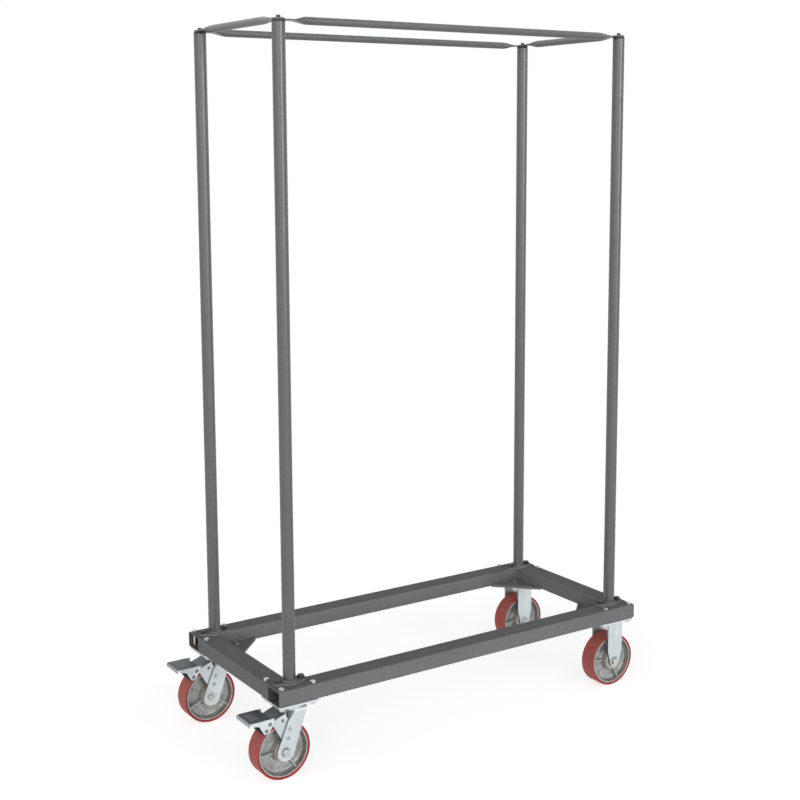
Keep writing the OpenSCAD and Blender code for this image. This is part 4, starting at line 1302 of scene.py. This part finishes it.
def bar_along_y(at, r, low, high):
    """A turned bar across a caster, with its ends rounded a little."""
    outline = rounded(corners_of((0, 0), (r, high - low)), [0, pin_edge, pin_edge, 0])
    return placed(lathe(outline, turns=32), frame_of((1, 0, 0), (0, 0, -1), (0, 1, 0), (at[0], low, at[1])))


for side, place in swivel_places.items():
    parts = [bar_along_y(pivot, pivot_pin_r, -pad_half, pad_half),
             bar_along_y(shoe_pin, shoe_pin_r, -pad_half, pad_half),
             bar_along_y(pivot, collar_r, collar_in, collar_out),
             bar_along_y(pivot, collar_r, -collar_out, -collar_in)]
    parts = [placed(part, place) for part in parts]
    heads = moved(on_cheeks([pivot, shoe_pin], pad_half), place)
    parts.append(fastened(rivet_tree, heads, dark_pin, pin_sizes))
    add_piece(f"{side}_pedal_pins", joined(parts), dark_pin, f"{side}_pedal",
              [f"{side}_brake_pins"])

# Brake shoes
# A block of hard dark rubber under each pedal, hollowed to the wheel and held by the second pin. It
# comes down to the tread when the pedal is pressed right down.
shoe_tones = ((0.018, 0.018, 0.019), (0.052, 0.050, 0.048))
shoe_cloud = 60
shoe_crumb = 600
shoe_rubber, spot, shader = finish("shoe_rubber", {"Specular IOR Level": 0.35})
crumb = noise(spot, shoe_crumb, detail=3.0)
shoe_colour = noise(spot, shoe_cloud, detail=4.0).ramp(0.35, 0.75).mix(*shoe_tones)
dress(shader, shoe_colour, 0.62 + 0.2 * crumb, crumb, strength=0.25, distance=0.0008)

press = next(joint for joint in frame["joints"] if joint["name"] == "front_pedal_press")
press_turn = Matrix.Rotation(math.radians(press["range_deg"][1]), 2)
pivot_at = Vector(pivot)
axle_at = Vector(axle)
locked_pin = pivot_at + press_turn @ (Vector(shoe_pin) - pivot_at) - axle_at
locked = math.atan2(locked_pin.y, locked_pin.x)
shoe_in = wheel_r + 0.0004
shoe_out = wheel_r + 0.015
shoe_from = math.radians(-6)
shoe_to = math.radians(8)
shoe_steps = 8
shoe_half = 0.022
shoe_edge = 0.0012
arc = [locked + shoe_from + (shoe_to - shoe_from) * n / shoe_steps for n in range(shoe_steps + 1)]
shoe_side = []
for r, a in [(shoe_in, a) for a in arc] + [(shoe_out, a) for a in reversed(arc)]:
    pressed = axle_at + r * Vector((math.cos(a), math.sin(a)))
    shoe_side.append(tuple(pivot_at + press_turn.inverted() @ (pressed - pivot_at)))
for side, place in swivel_places.items():
    block = placed(slab([shoe_side], 2 * shoe_half, shoe_edge), upright(shoe_half))
    add_piece(f"{side}_brake_shoe_block", placed(block, place), shoe_rubber, f"{side}_pedal",
              [f"{side}_brake_shoe"])


# Posts and flanges
# Four upright steel tubes, each welded to a lozenge-shaped flange that two bolts hold down on the
# side rails. They are powder coated like the base, and the posts are smoother and darker.
def belt(rounds):
    """The outline of a belt pulled tight round some circles."""
    points = [(x + r * math.cos(a), y + r * math.sin(a)) for x, y, r in rounds
              for a in (math.radians(d) for d in range(0, 360, 6))]
    return [points[n] for n in convex_hull_2d(points)]


smooth_coat = {"tone": 0.44, "gloss": 0.9, "relief": 0.16}
post_coat = powder_coat("post_coat", dullness=0.27, **smooth_coat)
post_wall = 0.002
post_cut = 0.0004
post_at = {}
for name in [f"{side}_{end}_post" for side in sides for end in ("left", "right")]:
    low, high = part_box(name)
    post_r = (high.x - low.x) / 2
    post_at[name] = Vector(((low.x + high.x) / 2, (low.y + high.y) / 2, low.z))
    wall_outline = rounded(corners_of((post_r - post_wall, 0), (post_r, high.z - low.z)), post_cut, steps=2)
    post = placed(lathe(wall_outline, turns=64), Matrix.Translation(post_at[name]))
    add_piece(f"{name}_tube", post, post_coat, "frame", [name])

flange_pitch = 0.065
flange_r = 0.025
flange_end_r = 0.013
flange_t = 0.006
flange_edge = 0.0008
ring_turns = 48
post_bead = {"Bead radius": 0.0036, "Ripple pitch": 0.0022}
flange_ends = [(x_side * flange_pitch / 2, 0, flange_end_r) for x_side in (-1, 1)]
flange_outline = belt([(0, 0, flange_r)] + flange_ends)
flange_parts = []
ring_runs = []
for at in post_at.values():
    flange_parts.append(placed(slab([flange_outline], flange_t, flange_edge),
                               Matrix.Translation((at.x, at.y, at.z - flange_t))))
    ring_runs.append([(at.x + post_r * math.cos(a), at.y + post_r * math.sin(a), at.z)
                      for a in (2 * math.pi * n / ring_turns for n in range(ring_turns + 1))])
flange_parts.append(grown(weld_tree, seed_lines(ring_runs), plain_coat, post_bead))
add_piece("post_flange_plates", joined(flange_parts), plain_coat, "frame", ["post_flanges"])

# Flange bolts
# Black hexagon bolts through the flanges and the upper walls of the side rails, with plain zinc
# nuts inside the rails.
black_tones = ((0.040, 0.040, 0.043), (0.085, 0.085, 0.089))
black_bloom = 160
black_grain = 800
black_steel, spot, shader = finish("black_steel", {"Metallic": 0.6})
bloom = noise(spot, black_bloom, detail=4.0)
black_colour = bloom.ramp(0.3, 0.7).mix(*black_tones)
black_height = noise(spot, black_grain, detail=2.0)
dress(shader, black_colour, 0.34 + 0.22 * bloom, black_height, strength=0.12, distance=0.0004)

flange_heads = [((at.x + x_side * flange_pitch / 2, at.y, at.z), (0, 0, 1))
                for at in post_at.values() for x_side in (-1, 1)]
flange_bolt_sizes = dict(caster_sizes, **{"Across flats": 0.015, "Head height": 0.0075,
                                          "Washer height": 0.0012, "Washer diameter": 0.0142,
                                          "Shank length": flange_t + rail_wall + tail})
flange_bolts = fastened(bolt_tree, flange_heads, black_steel, flange_bolt_sizes)
add_piece("flange_plate_bolts", flange_bolts, black_steel, "frame", ["flange_bolts"],
          crease=30)
paint(plate_zinc, "flange_nuts")

# Post plugs
# A plug of black moulded plastic is pushed into the top of each post. Its rim covers the cut end of
# the tube, and it takes the screw of the top frame.
plug_tones = ((0.020, 0.020, 0.022), (0.036, 0.036, 0.038))
plug_cloud = 90
plug_grain = 700
plug_plastic, spot, shader = finish("plug_plastic", {"Specular IOR Level": 0.4})
grain = noise(spot, plug_grain, detail=3.0)
plug_colour = noise(spot, plug_cloud, detail=3.0).mix(*plug_tones)
dress(shader, plug_colour, 0.42 + 0.2 * grain, grain, strength=0.15, distance=0.0005)

plug_low, plug_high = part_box("post_plugs")
plug_rim_z = plug_high.z - 0.003
plug_stem_r = post_r - post_wall - 0.00015
plug_corners = [(0, plug_low.z), (plug_stem_r, plug_low.z), (plug_stem_r, plug_rim_z),
                (post_r, plug_rim_z), (post_r, plug_high.z), (0, plug_high.z)]
plug_outline = rounded(plug_corners, [0, 0.001, 0, 0.0004, 0.0010, 0])
plugs = [placed(lathe(plug_outline, turns=48), Matrix.Translation((at.x, at.y, 0)))
         for at in post_at.values()]
add_piece("post_end_plugs", joined(plugs), plug_plastic, "frame", ["post_plugs"])


# Top rails
# Four steel tubes whose ends are pressed flat into round tongues. The short ones lie on the long
# ones at each post. Their coat is as smooth as the posts', and painted paler along the top as a highlight.
def rail_ring(half_w, half_h, steps=32):
    """A section through a top rail, from a round tube to a flat tongue."""
    flat = max(0, half_w - half_h)
    turns = [2 * math.pi * (n + 0.5) / steps for n in range(steps)]
    return [(half_h * math.cos(a) + math.copysign(flat, math.cos(a)), half_h * math.sin(a)) for a in turns]


tube_r = 0.0095
tongue_half = 0.015
tongue_thick = 0.0015
tongue_flat = 0.035
tongue_taper = 0.040
taper_steps = 10
end_steps = 8


def top_rail(reach):
    """A top rail along X with its middle at the origin, which reaches to a hole at each end."""
    half = [(0, tube_r, tube_r)]
    for n in range(taper_steps + 1):
        share = n / taper_steps
        ease = share * share * (3 - 2 * share)
        half.append((reach - tongue_flat - tongue_taper * (1 - share), tube_r + (tongue_half - tube_r) * ease,
                     tube_r + (tongue_thick - tube_r) * ease))
    for n in range(end_steps + 1):
        a = math.pi / 2 * n / end_steps
        wide = max(tongue_thick, tongue_half * math.cos(a))
        half.append((reach + tongue_half * math.sin(a), wide, tongue_thick))
    made = bmesh.new()
    rings = []
    for x, half_w, half_h in [(-x, w, h) for x, w, h in reversed(half[1:])] + half:
        rings.append([made.verts.new((x, y, z)) for y, z in rail_ring(half_w, half_h)])
    skin(made, rings)
    made.faces.new(rings[0])
    made.faces.new(rings[-1])
    return mesh_from(made)


top_low, top_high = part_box("left_top_rail")
top_z = (top_low.z + top_high.z) / 2
# The top rails' upper side is painted paler, as a highlight.
top_highlight = 0.7
top_highlight_fade = 0.4 * tube_r


def top_highlight_masks(spot):
    """A painted highlight: the coat is painted paler along the upper side. There is no bare inside to see."""
    return top_highlight * (spot.axis("Z") - top_z).ramp(-top_highlight_fade, top_highlight_fade), None


top_coat = powder_coat("top_rail_coat", top_highlight_masks, dullness=0.30, patches=0.35, **smooth_coat)
for name, turn in (("front", 0), ("rear", 0), ("left", 90), ("right", 90)):
    low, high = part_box(f"{name}_top_rail")
    reach = max(high.x - low.x, high.y - low.y) / 2 - tongue_half
    lie = Matrix.Translation((low + high) / 2) @ Matrix.Rotation(math.radians(turn), 4, "Z")
    add_piece(f"{name}_top_rail_tube", placed(top_rail(reach), lie), top_coat, "frame",
              [f"{name}_top_rail"], crease=50)

# Top screws
# Black socket screws of hardened steel. Each goes down through the two tongues at a corner and into
# the plug of the post.
screw_tree, screw = tree_with("socket_screws", ["Head diameter", "Head height", "Socket flats",
                                                "Socket depth", "Shank diameter", "Shank length"])
start = screw["Geometry"]
cap = rod(round_sides, screw["Head diameter"] / 2, 0, screw["Head height"])
socket_floor = screw["Head height"] - screw["Socket depth"]
socket = rod(hex_sides, screw["Socket flats"] * corner_share, socket_floor, screw["Head height"] * 1.5)
cap = start.node("GeometryNodeMeshBoolean", {"Mesh 1": cap, "Mesh 2": socket},
                 operation="DIFFERENCE", solver="EXACT")
shank = rod(thread_sides, screw["Shank diameter"] / 2, -screw["Shank length"], screw["Head height"] / 4)
close_tree(stood([cap, shank], start, seed=11), screw["Material"])

screw_low, screw_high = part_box("top_screws")
screw_head_h = 0.006
screw_seat = screw_high.z - screw_head_h
screw_edge = 0.0004
screw_sizes = {"Head diameter": 0.010, "Head height": screw_head_h, "Socket flats": 0.005,
               "Socket depth": 0.003, "Shank diameter": 0.006, "Shank length": screw_seat - screw_low.z}
screw_places = [((at.x, at.y, screw_seat), (0, 0, 1)) for at in post_at.values()]
screws = fastened(screw_tree, screw_places, black_steel, screw_sizes)
add_piece("top_frame_screws", screws, black_steel, "frame", ["top_screws"], crease=30,
          bevel=screw_edge)
